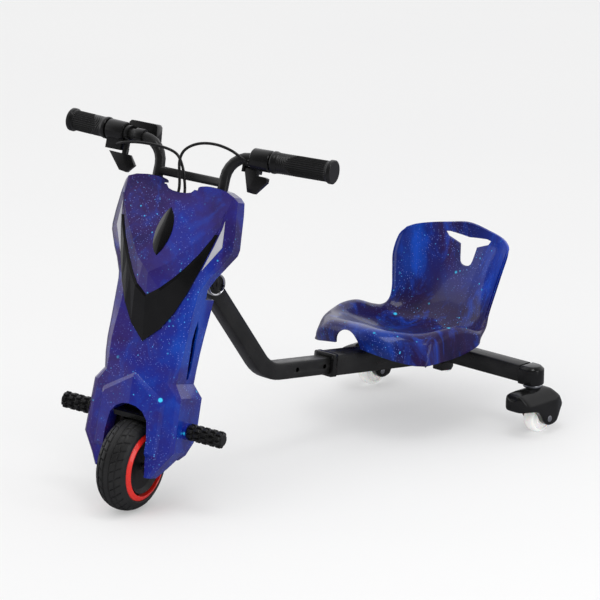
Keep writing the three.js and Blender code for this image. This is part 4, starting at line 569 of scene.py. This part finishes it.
# The outline as shares of the fairing's half width and height
leaf_shares = np.array([
    (0.030, 0.740), (0.085, 0.765), (0.120, 0.795), (0.128, 0.825), (0.105, 0.855), (0.060, 0.880),
    (-0.027, 0.903), (-0.080, 0.880), (-0.115, 0.850), (-0.125, 0.820), (-0.105, 0.785), (-0.050, 0.757)])


def leaf_rings(steps):
    """Ring s is the outline times s about its middle, and stands shoulder + rise (1 - s^2) off the panel."""
    arcs = [smooth_rows(np.vstack([leaf_shares[i:i + 7], leaf_shares[:1]])[:7], 25)[:-1] for i in (0, 6)]
    outline = np.vstack(arcs) * [FAIRING_HALF, FAIRING_RISE] - [0, FAIRING_FOOT]
    middle = outline.mean(0)
    shrink = np.linspace(1, 0.02, steps)
    share = np.concatenate([[1.0, 1.0], shrink])[:, None]
    stand = np.concatenate([[LEAF_BACK, LEAF_RIM], LEAF_SHOULDER + LEAF_RISE * (1 - shrink ** 2)])[:, None]
    x = middle[0] + share * (outline[:, 0] - middle[0])
    z = middle[1] + share * (outline[:, 1] - middle[1])
    y = -PANEL_SET - PANEL_SLOPE * (FAIRING_TOP - z) - stand
    return np.stack([x, y, z], -1)


def closed_rings(name, rings, to_row):
    """Rings joined into a skin, its two open ends closed by one face each."""
    count = rings.shape[1]
    last = (rings.shape[0] - 1) * count
    caps = [list(range(count - 1, -1, -1)), list(range(last, last + count))]
    return mesh_object(name, to_row(rings), list(grid_faces(*rings.shape[:2], False, True)) + caps)


leaf = dress(shade(closed_rings("leaf_dome", leaf_rings(12), steer_point), 40), "lamp_lens")
print(leaf.name, "faces", len(leaf.data.polygons))

# %% [markdown]
# ## A seat as a function of two parameters
# The bucket seat is one moulded skin that flows from the lip over the pan into the back. It
# could be pulled from a plane by hand, but numbers repeat better. Fifteen stations run from
# the front lip over the pan and up the back, each with six points from the middle to the
# rim. A cubic through the stations, taken twice, gives as fine a grid as wanted. Solidify
# gives the skin its 4 mm, and a prism cuts the vent and the arch over the beam.

# %% Seat skin
SEAT_HALF, SEAT_FRONT, SEAT_DEPTH, SEAT_LOW, SEAT_HEIGHT, SEAT_WALL = 144.0, 518.0, 343.0, 160.0, 204.0, 4.0
# Each point: shares of the half width, of the depth from the front, and of the height
seat_shares = np.array([
    [[0.00, 0.009, 0.127], [0.38, 0.023, 0.095], [0.66, 0.067, 0.050],
     [0.87, 0.128, 0.015], [0.97, 0.175, 0.003], [0.99, 0.190, 0.000]],
    [[0.00, 0.003, 0.220], [0.38, 0.015, 0.210], [0.66, 0.055, 0.128],
     [0.87, 0.143, 0.059], [0.98, 0.198, 0.055], [1.00, 0.220, 0.000]],
    [[0.00, 0.026, 0.290], [0.38, 0.038, 0.280], [0.66, 0.085, 0.205],
     [0.87, 0.166, 0.145], [0.98, 0.210, 0.098], [1.00, 0.250, 0.000]],
    [[0.00, 0.093, 0.300], [0.38, 0.102, 0.290], [0.66, 0.143, 0.270],
     [0.87, 0.205, 0.210], [0.98, 0.250, 0.170], [1.00, 0.285, 0.000]],
    [[0.00, 0.210, 0.243], [0.38, 0.210, 0.229], [0.66, 0.239, 0.250],
     [0.87, 0.283, 0.257], [0.98, 0.325, 0.215], [1.00, 0.335, 0.000]],
    [[0.00, 0.327, 0.175], [0.38, 0.327, 0.146], [0.66, 0.344, 0.186],
     [0.87, 0.370, 0.277], [0.98, 0.392, 0.238], [1.00, 0.402, 0.000]],
    [[0.00, 0.458, 0.110], [0.38, 0.458, 0.072], [0.66, 0.467, 0.127],
     [0.87, 0.482, 0.262], [0.98, 0.496, 0.230], [1.00, 0.502, 0.018]],
    [[0.00, 0.589, 0.066], [0.38, 0.589, 0.036], [0.66, 0.595, 0.088],
     [0.87, 0.603, 0.193], [0.97, 0.608, 0.165], [0.98, 0.612, 0.050]],
    [[0.00, 0.712, 0.080], [0.38, 0.706, 0.061], [0.66, 0.695, 0.098],
     [0.85, 0.679, 0.172], [0.92, 0.672, 0.150], [0.90, 0.672, 0.090]],
    [[0.00, 0.813, 0.196], [0.37, 0.804, 0.182], [0.64, 0.778, 0.196],
     [0.80, 0.736, 0.226], [0.875, 0.718, 0.205], [0.86, 0.735, 0.175]],
    [[0.00, 0.886, 0.368], [0.36, 0.875, 0.363], [0.62, 0.831, 0.353],
     [0.79, 0.770, 0.333], [0.865, 0.742, 0.310], [0.85, 0.762, 0.305]],
    [[0.00, 0.948, 0.574], [0.36, 0.933, 0.569], [0.63, 0.880, 0.549],
     [0.82, 0.808, 0.520], [0.91, 0.765, 0.485], [0.895, 0.788, 0.485]],
    [[0.00, 0.988, 0.819], [0.37, 0.974, 0.804], [0.65, 0.927, 0.765],
     [0.86, 0.842, 0.700], [0.95, 0.788, 0.645], [0.935, 0.812, 0.648]],
    [[0.00, 0.987, 0.925], [0.37, 0.976, 0.895], [0.64, 0.945, 0.868],
     [0.85, 0.883, 0.828], [0.95, 0.834, 0.795], [0.935, 0.856, 0.798]],
    [[0.00, 0.979, 0.985], [0.37, 0.972, 0.950], [0.62, 0.955, 0.925],
     [0.80, 0.915, 0.900], [0.90, 0.880, 0.870], [0.90, 0.893, 0.870]],
])


def seat_grid(along, across):
    """Stations mirrored to both sides, smoothed in both directions, in ground millimetres."""
    half = seat_shares * [SEAT_HALF, SEAT_DEPTH, SEAT_HEIGHT] + [0, SEAT_FRONT, SEAT_LOW]
    full = np.concatenate([half[:, :0:-1] * [-1, 1, 1], half], 1)
    rows = smooth_rows(full, along)
    return smooth_rows(rows.transpose(1, 0, 2), across).transpose(1, 0, 2)


def prism(name, outline, low, high):
    """A closed prism on an outline of (x, z) in ground millimetres, from one y to another."""
    outline = np.array(outline, float)
    n = len(outline)
    ends = [np.column_stack([outline[:, 0], np.full(n, y), outline[:, 1]]) for y in (low, high)]
    faces = [list(range(n)), list(range(2 * n - 1, n - 1, -1))]
    faces += [[i, n + i, n + (i + 1) % n, (i + 1) % n] for i in range(n)]
    return mesh_object(name, ground_point(np.vstack(ends)), faces)


SEAT_ROWS, SEAT_COLUMNS = 113, 89
points = seat_grid(SEAT_ROWS, SEAT_COLUMNS)
seat = mesh_object("seat_skin", ground_point(points), grid_faces(*points.shape[:2], False, False))
up_facing = sum(f.normal.z for f in seat.data.polygons if f.center.z < ground_point([0, 0, 190.0])[2])
if up_facing < 0:
    seat.data.flip_normals()
wall = seat.modifiers.new("wall", "SOLIDIFY")
wall.thickness = SEAT_WALL * MM
wall.offset = -1.0
wall.use_even_offset = True
edge = seat.modifiers.new("edge", "BEVEL")
edge.width = 1.2 * MM
edge.segments = 3
edge.limit_method = "ANGLE"
edge.angle_limit = math.radians(60)
flatten(seat)
# %% Vent and arch
VENT_BACK = 20.0
ARCH_HALF, ARCH_TOP_SHARE, ARCH_AHEAD, ARCH_BEHIND, ARCH_LOW = 32.0, 0.262, 12.0, 48.0, 100.0
vent_half = [(0.000, 0.842), (0.165, 0.865), (0.205, 0.858), (0.180, 0.815), (0.078, 0.765), (0.060, 0.640),
             (0.052, 0.605), (0.036, 0.584), (0.014, 0.576)]
vent_left = [(a * 2 * SEAT_HALF, SEAT_LOW + h * SEAT_HEIGHT) for a, h in vent_half]
vent = vent_left + [(-x, z) for x, z in reversed(vent_left) if x > 0]
carve(seat, prism("vent_cutter", vent, SEAT_FRONT + SEAT_DEPTH / 2, SEAT_FRONT + SEAT_DEPTH + VENT_BACK))
arch_centre = SEAT_LOW + ARCH_TOP_SHARE * SEAT_HEIGHT - ARCH_HALF
half_turn = np.linspace(0, math.pi, 17)
vault = [(ARCH_HALF * math.cos(a), arch_centre + ARCH_HALF * math.sin(a)) for a in half_turn]
arch = [(ARCH_HALF, ARCH_LOW)] + vault + [(-ARCH_HALF, ARCH_LOW)]
carve(seat, prism("arch_cutter", arch, SEAT_FRONT - ARCH_AHEAD, SEAT_FRONT + ARCH_BEHIND))
dress(shade(seat, 40), "seat_shell")
print("seat faces", len(seat.data.polygons))

# %% [markdown]
# ## Turned pieces with a pattern
# Tyre, grips, peg rubbers and caster wheels are all turned profiles whose radius is lowered
# a little where a groove runs. Cutting each groove with a boolean would be slow and rough.
# So one function is enough: it takes the distance along the axis and the radius as arrays
# over the whole grid, and a pattern is just a number taken off the radius.

# %% Turned grid
def turned_piece(name, along, radius, centre, axis, up, to_row):
    """Point = centre + axis * along + radius * (cos a * up + sin a * side), with a going once round."""
    axis, up = np.array(axis, float), np.array(up, float)
    axis /= np.linalg.norm(axis)
    up -= axis * (up @ axis)
    up /= np.linalg.norm(up)
    side = np.cross(axis, up)
    angle = np.linspace(0, 2 * math.pi, radius.shape[1], endpoint=False)
    around = np.cos(angle)[:, None] * up + np.sin(angle)[:, None] * side
    grid = np.array(centre) + along[..., None] * axis + radius[..., None] * around[None]
    return mesh_object(name, to_row(grid), grid_faces(*radius.shape, True, True))


def profile_rows(corners, spacing):
    """Points along a closed run of (radius, distance) corners, no further apart than the spacing."""
    corners = np.array(corners, float)
    after = np.roll(corners, -1, 0)
    counts = np.maximum(np.ceil(np.hypot(*(after - corners).T) / spacing).astype(int), 1)
    return np.concatenate([a + (b - a) * np.linspace(0, 1, n, endpoint=False)[:, None]
                           for a, b, n in zip(corners, after, counts)])


def dip(distance, half, soft):
    """1 inside a groove of the given half width, falling to 0 over the soft edge."""
    return np.clip((half + soft - np.abs(distance)) / soft, 0, 1)


# %% [markdown]
# ## The tyre
# A small scooter tyre has two grooves round its crown and slanted cuts that split the
# shoulders into blocks. The cuts slant because their angle shifts with the distance from
# the middle. All grooves lower the radius by 1.9 mm, and fade out down the side wall.

# %% Tyre
WHEEL_RADIUS, TYRE_HALF = 82.5, 30.0
WHEEL_CENTRE = [0.0, -12.0, -12.0 * math.tan(RAKE)]
TREAD_STEPS, TREAD_PITCHES, TREAD_LEAN, TREAD_DEPTH = 420, 30, 26.0, 1.9
PITCH_LENGTH, RIB_EDGE, OUTER_GROOVE, CROWN_FOOT = 17.0, 5.5, 15.5, 71.0
# Half section as shares of the wheel's radius and the tyre's half width
tyre_half = [
    (1.000, 0.00), (0.997, 0.20), (0.985, 0.36), (0.945, 0.62), (0.890, 0.81), (0.820, 0.93), (0.765, 0.97)]
outer = [(r * WHEEL_RADIUS, x * TYRE_HALF) for r, x in tyre_half] + [(61.0, 28.3)]
ring = outer[::-1] + [(r, -x) for r, x in outer[1:]]
rows = profile_rows(ring, 0.9)
tread_angle = np.linspace(0, 2 * math.pi, TREAD_STEPS, endpoint=False)[None]
across = rows[:, 1:2]
aside = np.abs(across)
slant = tread_angle * TREAD_PITCHES / (2 * math.pi) + aside / TREAD_LEAN
cross_cut = dip((slant % 1 - 0.5) * PITCH_LENGTH, 0.9, 0.7) * (aside > RIB_EDGE)
round_cut = np.maximum(dip(aside - RIB_EDGE, 0.9, 0.6), dip(aside - OUTER_GROOVE, 0.7, 0.6))
crown = np.clip((rows[:, :1] - CROWN_FOOT) / 3.0, 0, 1)
groove = np.maximum(cross_cut, round_cut) * crown * TREAD_DEPTH
tyre = turned_piece("tyre_tread", np.repeat(across, TREAD_STEPS, 1), rows[:, :1] - groove, WHEEL_CENTRE,
                    [1, 0, 0], [0, 0, 1], steer_point)
dress(shade(tyre, 35), "tyre")
print("tyre faces", len(tyre.data.polygons))

# %% [markdown]
# ## Red rim rings and the painted shade over the wheel
# Only the outer lip of each rim is red, so the ring is a narrow turned band. Over the wheel
# a thick dark sheet follows the tyre between the fork legs and hides the ground behind it:
# it is painted shade for the dark inside of the wheel arch. Its section is a plain
# rectangle that is carried along an arc about the axle.

# %% Rim rings
# Corners as radius and distance from the wheel's middle plane
band_profile = [
    (60.4, 21.0), (60.4, 27.6), (59.6, 28.6), (53.6, 32.6), (52.2, 32.9), (51.4, 32.2), (51.4, 21.0)]
for side, word in ((1, "left"), (-1, "right")):
    rows = profile_rows([(radius, side * x) for radius, x in band_profile], 1.0)
    ring = turned_piece("rim_band_" + word, np.repeat(rows[:, 1:2], 192, 1), np.repeat(rows[:, :1], 192, 1),
                        WHEEL_CENTRE, [1, 0, 0], [0, 0, 1], steer_point)
    dress(shade(ring, 35), "rim_ring_" + word)
    print(ring.name, "faces", len(ring.data.polygons))

# %% Painted shade sheet
SHEET_RADIUS, SHEET_HALF, SHEET_WALL = 87.0, 33.5, 9.0
SHEET_AHEAD, SHEET_BEHIND, SHEET_STEPS = -22, 66, 77
sweep = np.radians(np.linspace(SHEET_AHEAD, SHEET_BEHIND, SHEET_STEPS))[:, None]
top_radius = SHEET_RADIUS + SHEET_WALL
section = np.array([(SHEET_RADIUS, -1), (top_radius, -1), (top_radius, 1), (SHEET_RADIUS, 1)])
shade_sheet = np.stack([np.repeat(SHEET_HALF * section[:, 1][None], SHEET_STEPS, 0),
                  WHEEL_CENTRE[1] + section[:, 0] * np.sin(sweep),
                  WHEEL_CENTRE[2] + section[:, 0] * np.cos(sweep)], -1)
# The black sheet is painted shade for the dark inside of the wheel arch.
shade_sheet = closed_rings("arch_shade_sheet", shade_sheet, steer_point)
shade_sheet.data.materials.append(finish["black_moulding"])
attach(shade(shade_sheet, 30), bodies["front_shell"])
print("guard faces", len(shade_sheet.data.polygons))

# %% [markdown]
# ## Grips
# Each rubber grip has a flange at its end, lengthwise ribs over most of its length, and a
# few wave lines near its inner end, where the ribs fan out round the thumb. Bump would look
# right only from afar, and real ribs also show in the outline, so the radius itself waves.
# A rib is a cosine round the grip, and a wave line is a cosine along it, bent by the angle.

# %% Bar axis and grips
BAR_CORNER = np.array([66.0, 12.0, 550.0])
BAR_END = np.array([266.0, 20.0, 556.0])


def bar_axis(side):
    """Unit direction of the outer bar on one side, pointing outward."""
    way = (BAR_END - BAR_CORNER) * [side, 1, 1]
    return way / np.linalg.norm(way)


def bar_point(side, x):
    """Point of the bar's axis at a distance from the middle plane."""
    axis = bar_axis(side)
    return BAR_CORNER * [side, 1, 1] + axis * (x - BAR_CORNER[0]) / abs(axis[0])


GRIP_END, GRIP_BORE, GRIP_BODY, GRIP_FLANGE, GRIP_CAP = 266.0, 9.8, 18.0, 20.5, 3.7
GRIP_RIBS, RIB_DEPTH, WAVE_DEPTH, WAVE_PITCH, WAVE_SWAY = 30, 1.5, 1.0, 4.2, 3.2


def grip_profile(start):
    """Corners (radius, distance) of a grip: collar, body, flange, closed end and bore."""
    end = GRIP_END
    return [(GRIP_BORE, start), (18.6, start), (19.4, start + 1.5), (19.4, start + 5), (18.2, start + 9),
            (GRIP_BODY, start + 14), (GRIP_BODY, end - 14), (18.6, end - 9), (GRIP_FLANGE, end - 7),
            (GRIP_FLANGE, end - 1.2), (GRIP_FLANGE - 1.2, end), (0.01, end), (0.01, end - GRIP_CAP),
            (GRIP_BORE, end - GRIP_CAP)]


def grip(name, side, start):
    """Radius = body - rib depth * ribs past the fan line - wave depth * waves before it."""
    rows = profile_rows(grip_profile(start), 1.0)
    angle = np.linspace(0, 2 * math.pi, 240, endpoint=False)[None]
    s = rows[:, 1:2]
    skin = (rows[:, :1] > 16.5)
    fan = start + 0.30 * (GRIP_END - start) + 7 * np.cos(2 * angle)
    past = np.clip((s - fan) / 3, 0, 1)
    ribs = (0.5 + 0.5 * np.cos(GRIP_RIBS * angle)) ** 0.8 * past * np.clip((GRIP_END - 11 - s) / 2, 0, 1)
    waves = 0.5 + 0.5 * np.cos((s - WAVE_SWAY * np.cos(3 * angle)) * 2 * math.pi / WAVE_PITCH)
    waves = waves * (1 - past) * np.clip((s - start - 10) / 2, 0, 1)
    lowered = rows[:, :1] - skin * (RIB_DEPTH * ribs + WAVE_DEPTH * waves)
    along = np.repeat(s, 240, 1)
    return turned_piece(name, along, lowered, bar_point(side, 0.0), bar_axis(side), [0, 0, 1], steer_point)


for side, word, start in ((1, "left", 151.0), (-1, "right", 185.0)):
    piece = dress(shade(grip("grip_ribs_" + word, side, start), 50), "grip_" + word)
    print(piece.name, "faces", len(piece.data.polygons))

# %% [markdown]
# ## Foot pegs
# The peg rubbers are rings of raised blocks for the rider's soles, five rings with nine
# blocks each. Every second ring is turned by half a block, so that no groove runs through.
# A block is where a ring wave and a block wave are both high.

# %% Peg rubbers
PEG_START, PEG_END, PEG_BORE, PEG_WAIST, PEG_TOP, PEG_CAP = 95.3, 164.0, 9.3, 10.6, 14.9, 3.7
PEG_RINGS, PEG_BLOCKS, RING_LENGTH, BLOCK_LENGTH = 5, 9, 13.7, 10.4
PEG_CENTRE = [0.0, -2.0, 74.0]


def peg_rubber(name, side):
    """Radius = waist + block height where both the ring wave and the block wave are high."""
    corners = [(PEG_BORE, PEG_START), (PEG_WAIST, PEG_START), (PEG_WAIST, PEG_END - 1),
               (PEG_WAIST - 1, PEG_END), (0.01, PEG_END), (0.01, PEG_END - PEG_CAP),
               (PEG_BORE, PEG_END - PEG_CAP)]
    rows = profile_rows(corners, 0.8)
    angle = np.linspace(0, 2 * math.pi, 192, endpoint=False)[None]
    s = rows[:, 1:2]
    turn = (s - PEG_START) / (PEG_END - PEG_START) * PEG_RINGS
    ringed = 1 - dip(np.minimum(turn % 1, 1 - turn % 1) * RING_LENGTH, 1.0, 2.2)
    place = (angle * PEG_BLOCKS / (2 * math.pi) + 0.5 * np.floor(turn)) % 1
    blocks = 1 - dip((place - 0.5) * BLOCK_LENGTH, 0.7, 1.8)
    skin = (rows[:, :1] > PEG_WAIST - 0.5) * np.clip((PEG_END - 1.5 - s), 0, 1)
    radius = rows[:, :1] + skin * (PEG_TOP - PEG_WAIST) * ringed * blocks
    along = np.repeat(side * s, 192, 1)
    return turned_piece(name, along, radius, PEG_CENTRE, [1, 0, 0], [0, 0, 1], steer_point)


for side, word in ((1, "left"), (-1, "right")):
    piece = dress(shade(peg_rubber("peg_blocks_" + word, side), 40), "peg_rubber_" + word)
    print(piece.name, "faces", len(piece.data.polygons))

# %% [markdown]
# ## Caster wheels
# Each caster runs on a clear hard tread with rounded shoulders and dished sides. The same
# profile helper serves, with no pattern. The clear plastic is shown by a little light
# scattered under the surface and not by glass, which would look empty from a distance,
# and a faint painted glow keeps it white in the shade under the seat.

# %% Caster wheels
# Half section as shares of the wheel's radius and half width
wheel_shares = [
    (0.45, 1.00), (0.50, 0.78), (0.72, 0.76), (0.79, 0.96), (0.86, 0.97), (0.93, 0.86), (0.975, 0.62),
    (1.0, 0.28)]


def caster_wheel(name, centre, radius, half, bore):
    """A turned profile: hub faces, dished sides, round shoulders."""
    one = [(r * radius, x * half) for r, x in wheel_shares]
    corners = [(bore, half)] + one + [(r, -x) for r, x in reversed(one)] + [(bore, -half)]
    rows = profile_rows(corners, 1.5)
    along, radius = np.repeat(rows[:, 1:2], 96, 1), np.repeat(rows[:, :1], 96, 1)
    return turned_piece(name, along, radius, centre, [1, 0, 0], [0, 0, 1], ground_point)


for side, word in ((SWIVEL_X, "left"), (-SWIVEL_X, "right")):
    axle = [side, SWIVEL_Y + CASTER_TRAIL, CASTER_RADIUS]
    piece = caster_wheel("caster_tread_" + word, axle, CASTER_RADIUS, CASTER_HALF, CASTER_BORE)
    dress(shade(piece, 35), "caster_wheel_" + word)
    print(piece.name, "faces", len(piece.data.polygons))

# %% [markdown]
# ## Cables
# Two housings run from the controls over the crossbar into the notch of the fairing. A curve
# with a bevel would do, but it has to become a mesh in the end. So each is a ring of points
# carried along the same route as its solid, only finer.

# %% Cables
BAR_REACH, FAIRING_DEPTH, BAR_HEIGHT = 266.0, 100.0, 556.0
CABLE_RADIUS, CABLE_STEPS, CABLE_SIDES = 2.5, 150, 16
# A direction that no stretch of the cables runs along, to measure the ring's first side from
ASIDE = [0.31, 0.90, 0.30]
# Points as shares of the bar's reach, the fairing's depth and the bar's height
cable_routes = {
    "throttle_cable": [
        (-0.587, 0.048, 0.953), (-0.562, -0.030, 0.956), (-0.515, -0.085, 0.962), (-0.430, -0.100, 0.970),
        (-0.345, -0.100, 0.974), (-0.225, -0.09, 0.974), (-0.130, -0.10, 0.968), (-0.075, -0.10, 0.955),
        (-0.030, -0.10, 0.925), (0.000, -0.10, 0.888), (0.020, -0.115, 0.858), (0.030, -0.150, 0.832),
        (0.034, -0.220, 0.800), (0.034, -0.285, 0.760), (0.034, -0.300, 0.700), (0.034, -0.290, 0.640),
        (0.034, -0.260, 0.582)],
    "brake_cable": [
        (0.403, 0.022, 0.979), (0.380, -0.035, 0.986), (0.300, -0.085, 1.004), (0.200, -0.12, 1.013),
        (0.105, -0.15, 1.010), (0.028, -0.165, 0.997), (-0.026, -0.175, 0.975), (-0.044, -0.175, 0.945),
        (-0.035, -0.165, 0.912), (-0.022, -0.150, 0.880), (-0.018, -0.142, 0.855), (-0.020, -0.165, 0.830),
        (-0.022, -0.225, 0.800), (-0.024, -0.290, 0.760), (-0.024, -0.305, 0.700), (-0.024, -0.290, 0.640),
        (-0.024, -0.260, 0.582)],
}


def tube(name, path, radius, sides):
    """Rings of the given radius square to a path."""
    way = np.gradient(path, axis=0)
    way /= np.linalg.norm(way, axis=1)[:, None]
    side = np.cross(way, ASIDE)
    side /= np.linalg.norm(side, axis=1)[:, None]
    other = np.cross(way, side)
    angle = np.linspace(0, 2 * math.pi, sides, endpoint=False)
    ring = np.cos(angle)[None, :, None] * side[:, None] + np.sin(angle)[None, :, None] * other[:, None]
    body = path[:, None] + radius * ring
    return closed_rings(name, body, steer_point)


for node, shares in cable_routes.items():
    route = np.array(shares) * [BAR_REACH, FAIRING_DEPTH, BAR_HEIGHT]
    path = smooth_rows(route, CABLE_STEPS)
    piece = dress(shade(tube(node + "_sheath", path, CABLE_RADIUS, CABLE_SIDES), 40), node)
    print(piece.name, "is", round(float(np.linalg.norm(np.diff(path, axis=0), axis=1).sum())), "mm long")

# %% [markdown]
# ## Everything else
# All other solids are plain machined, bent or moulded pieces, whose form the solid already
# has. Only their edges are too sharp: no real edge is, and a thin bright line along it tells
# the eye so. Each gets a merged copy with a small bevel, in millimetres below, where the
# solid allows one, and its finish.

# %% Remaining solids
bevel_widths = {
    "front_frame": 0.8, "rear_frame": 0.8, "sleeve_collar": 0.8, "cross_cap_left": 1.6, "cross_cap_right": 1.6,
    "stem_clamp": 1.5, "stem_cap": 1.5, "brake_perch": 0.8, "brake_lever": 1.0, "throttle_housing": 1.0,
    "throttle_paddle": 1.2, "display_housing": 1.2, "display_window": 0.5, "side_lens_left": 0.5,
    "side_lens_right": 0.5, "switch_bezel": 0.8, "switch_core": 0.3, "seat_mount": 1.0, "anti_tip_bracket": 0.5,
    "anti_tip_wheel": 1.0, "motor_hub": 0.8, "axle_nut_left": 0.5, "axle_nut_right": 0.5, "battery_pack": 2.0,
    "motor_controller": 1.0, "caster_axle_left": 0.5, "caster_axle_right": 0.5,
}


def edge_bevel(piece, width):
    """Dissolve flat regions, then round edges sharper than 40 degrees."""
    dissolve = piece.modifiers.new("planar", "DECIMATE")
    dissolve.decimate_type = "DISSOLVE"
    dissolve.angle_limit = math.radians(1.0)
    flatten(piece)
    edge = piece.modifiers.new("edge", "BEVEL")
    edge.width = width * MM
    edge.segments = 2
    edge.limit_method = "ANGLE"
    edge.angle_limit = math.radians(40)
    return flatten(piece)


taken = {name for o in bpy.data.objects if "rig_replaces" in o for name in o["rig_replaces"]}
plain_nodes = [node for node in sorted(frame["nodes"]) if node not in taken]
for node in plain_nodes:
    piece = copy_of(node, node + "_look")
    if node in bevel_widths:
        edge_bevel(piece, bevel_widths[node])
    dress(shade(piece, 38), node)
print("dressed", len(plain_nodes), "plain solids of", len(frame["nodes"]))

# %% [markdown]
# ## The floor
# A studio sweep could be a curved sheet, but one wide pale plane does as well from above.
# It is 0.55 bright by itself, and a weak glow lifts it to nearly white without washing out
# the shadow. The glow is switched off for glossy rays, which see a darker floor, or the
# black pieces would look milky from below.

# %% Floor
FLOOR_HALF, FLOOR_GLOW = 16.0, 0.34


def floor_plane(size):
    """A square on the ground."""
    corners = np.array([[-1, -1, 0], [1, -1, 0], [1, 1, 0], [-1, 1, 0]], float) * size
    return mesh_object("studio_floor", corners, [[0, 1, 2, 3]])


floor = floor_plane(FLOOR_HALF)
floor_look, floor_nodes, floor_links, floor_shader = principled(
    "studio_floor", Roughness=1.0, Specular_IOR_Level=0.0, Emission_Color=WHITE, Emission_Strength=FLOOR_GLOW)
floor_tone = noise(floor_nodes, floor_links, 0.6, 2.0)
floor_pale = ramp(floor_nodes, floor_links, floor_tone,
                  ((0.3, (0.545, 0.545, 0.548, 1.0)), (0.7, (0.555, 0.555, 0.555, 1.0))))
floor_ray = floor_nodes.new("ShaderNodeLightPath")
floor_seen = blend_colour(floor_nodes, floor_links, floor_ray.outputs["Is Glossy Ray"], floor_pale,
                          (0.20, 0.20, 0.22, 1.0))
floor_links.new(floor_seen, floor_shader.inputs["Base Color"])
floor_glow = floor_nodes.new("ShaderNodeMath")
floor_glow.operation = "MULTIPLY_ADD"
floor_links.new(floor_ray.outputs["Is Glossy Ray"], floor_glow.inputs[0])
floor_glow.inputs[1].default_value = -FLOOR_GLOW
floor_glow.inputs[2].default_value = FLOOR_GLOW
floor_links.new(floor_glow.outputs[0], floor_shader.inputs["Emission Strength"])
floor.data.materials.append(floor_look)
print("floor", 2 * FLOOR_HALF, "m wide")

# %% [markdown]
# ## The light
# Light comes evenly from a white sky and, a little stronger, from a wide sun high on the
# left, so that colours come out about as they are written and the shadow stays soft. The
# camera's own rays see a pale backdrop in place of the sky. Glossy rays see a room that is
# dark on one side and bright on the other and above, so that faces turned to the dark side
# keep their colour and edges turned away from it shine. Two tall panels at the sides and a
# small one overhead draw highlights along the edges.

# %% Sky
world = bpy.data.worlds.new("studio")
world.use_nodes = True
bpy.context.scene.world = world
sky_nodes, sky_links = world.node_tree.nodes, world.node_tree.links
sky = next(n for n in sky_nodes if n.type == "BACKGROUND")
SKY_LEVEL, SUN_LEVEL = 0.70, 1.02
BRIGHT_SIDE = (-0.6866, 0.6773, -0.2637)
BACKDROP = (1.25, 1.25, 1.26, 1.0)
way = sky_nodes.new("ShaderNodeTexCoord")
facing = sky_nodes.new("ShaderNodeVectorMath")
facing.operation = "DOT_PRODUCT"
facing.inputs[1].default_value = BRIGHT_SIDE
sky_links.new(way.outputs["Generated"], facing.inputs[0])
halved = sky_nodes.new("ShaderNodeMath")
halved.operation = "MULTIPLY_ADD"
sky_links.new(facing.outputs["Value"], halved.inputs[0])
halved.inputs[1].default_value = 0.5
halved.inputs[2].default_value = 0.5
room = ramp(sky_nodes, sky_links, halved.outputs[0], (
    (0.10, (0.05, 0.05, 0.06, 1)), (0.26, (0.14, 0.14, 0.15, 1)),
    (0.42, (0.80, 0.80, 0.82, 1)), (0.7, (1.25, 1.25, 1.28, 1))))
sky_ray = sky_nodes.new("ShaderNodeLightPath")
seen_sky = blend_colour(sky_nodes, sky_links, sky_ray.outputs["Is Glossy Ray"], WHITE, room)
sky_links.new(blend_colour(sky_nodes, sky_links, sky_ray.outputs["Is Camera Ray"], seen_sky, BACKDROP),
              sky.inputs["Color"])
sky.inputs["Strength"].default_value = SKY_LEVEL


# %% Lamps
def lamp(name, kind, place, aim, **settings):
    """A lamp of the given kind at a place, turned to face a point."""
    data = bpy.data.lights.new(name, kind)
    for key, value in settings.items():
        setattr(data, key, value)
    made = bpy.data.objects.new(name, data)
    bpy.context.scene.collection.objects.link(made)
    made.location = place
    made.rotation_euler = (Vector(aim) - Vector(place)).to_track_quat("-Z", "Y").to_euler()
    return made


sun = lamp("wide_sun", "SUN", (0.6, -2.0, 3.4), (0.0, 0.0, 0.2), energy=SUN_LEVEL, angle=math.radians(70))
sun.visible_glossy = False
panels = {
    "left_panel": ((-2.2, -1.6, 1.3), (0.0, -0.3, 0.3), 4.0, 0.7, 2.4),
    "top_panel": ((0.9, -0.5, 2.6), (0.0, -0.2, 0.3), 8.0, 0.8, 0.8),
    "right_panel": ((2.4, 0.3, 1.0), (0.0, -0.2, 0.3), 10.0, 0.7, 2.4),
}
for name, (place, aim, watts, wide, high) in panels.items():
    lamp(name, "AREA", place, aim, energy=watts, shape="RECTANGLE", size=wide, size_y=high)
print("lamps:", sorted(panels), "and", sun.name)

# %% [markdown]
# ## The camera
# A product photograph is taken from far away through a long lens, so that nothing bulges.
# Place, angle and lens come from fitting the trike's measured points to the photograph.

# %% Camera
LENS, SENSOR, AZIMUTH, ELEVATION = 155.904, 36.0, math.radians(45.3909), math.radians(15.2878)
CAMERA_PLACE = [3229.0, -2786.6, 1534.3]
camera_data = bpy.data.cameras.new("camera")
camera_data.lens = LENS
camera_data.sensor_width = SENSOR
camera_data.clip_end = 60.0
camera = bpy.data.objects.new("camera", camera_data)
bpy.context.scene.collection.objects.link(camera)
camera.location = ground_point(CAMERA_PLACE)
camera.rotation_euler = (math.pi / 2 - ELEVATION, 0.0, AZIMUTH)
bpy.context.scene.camera = camera
bpy.context.scene.view_settings.view_transform = "Standard"
print("camera at", [round(v, 3) for v in camera.location])
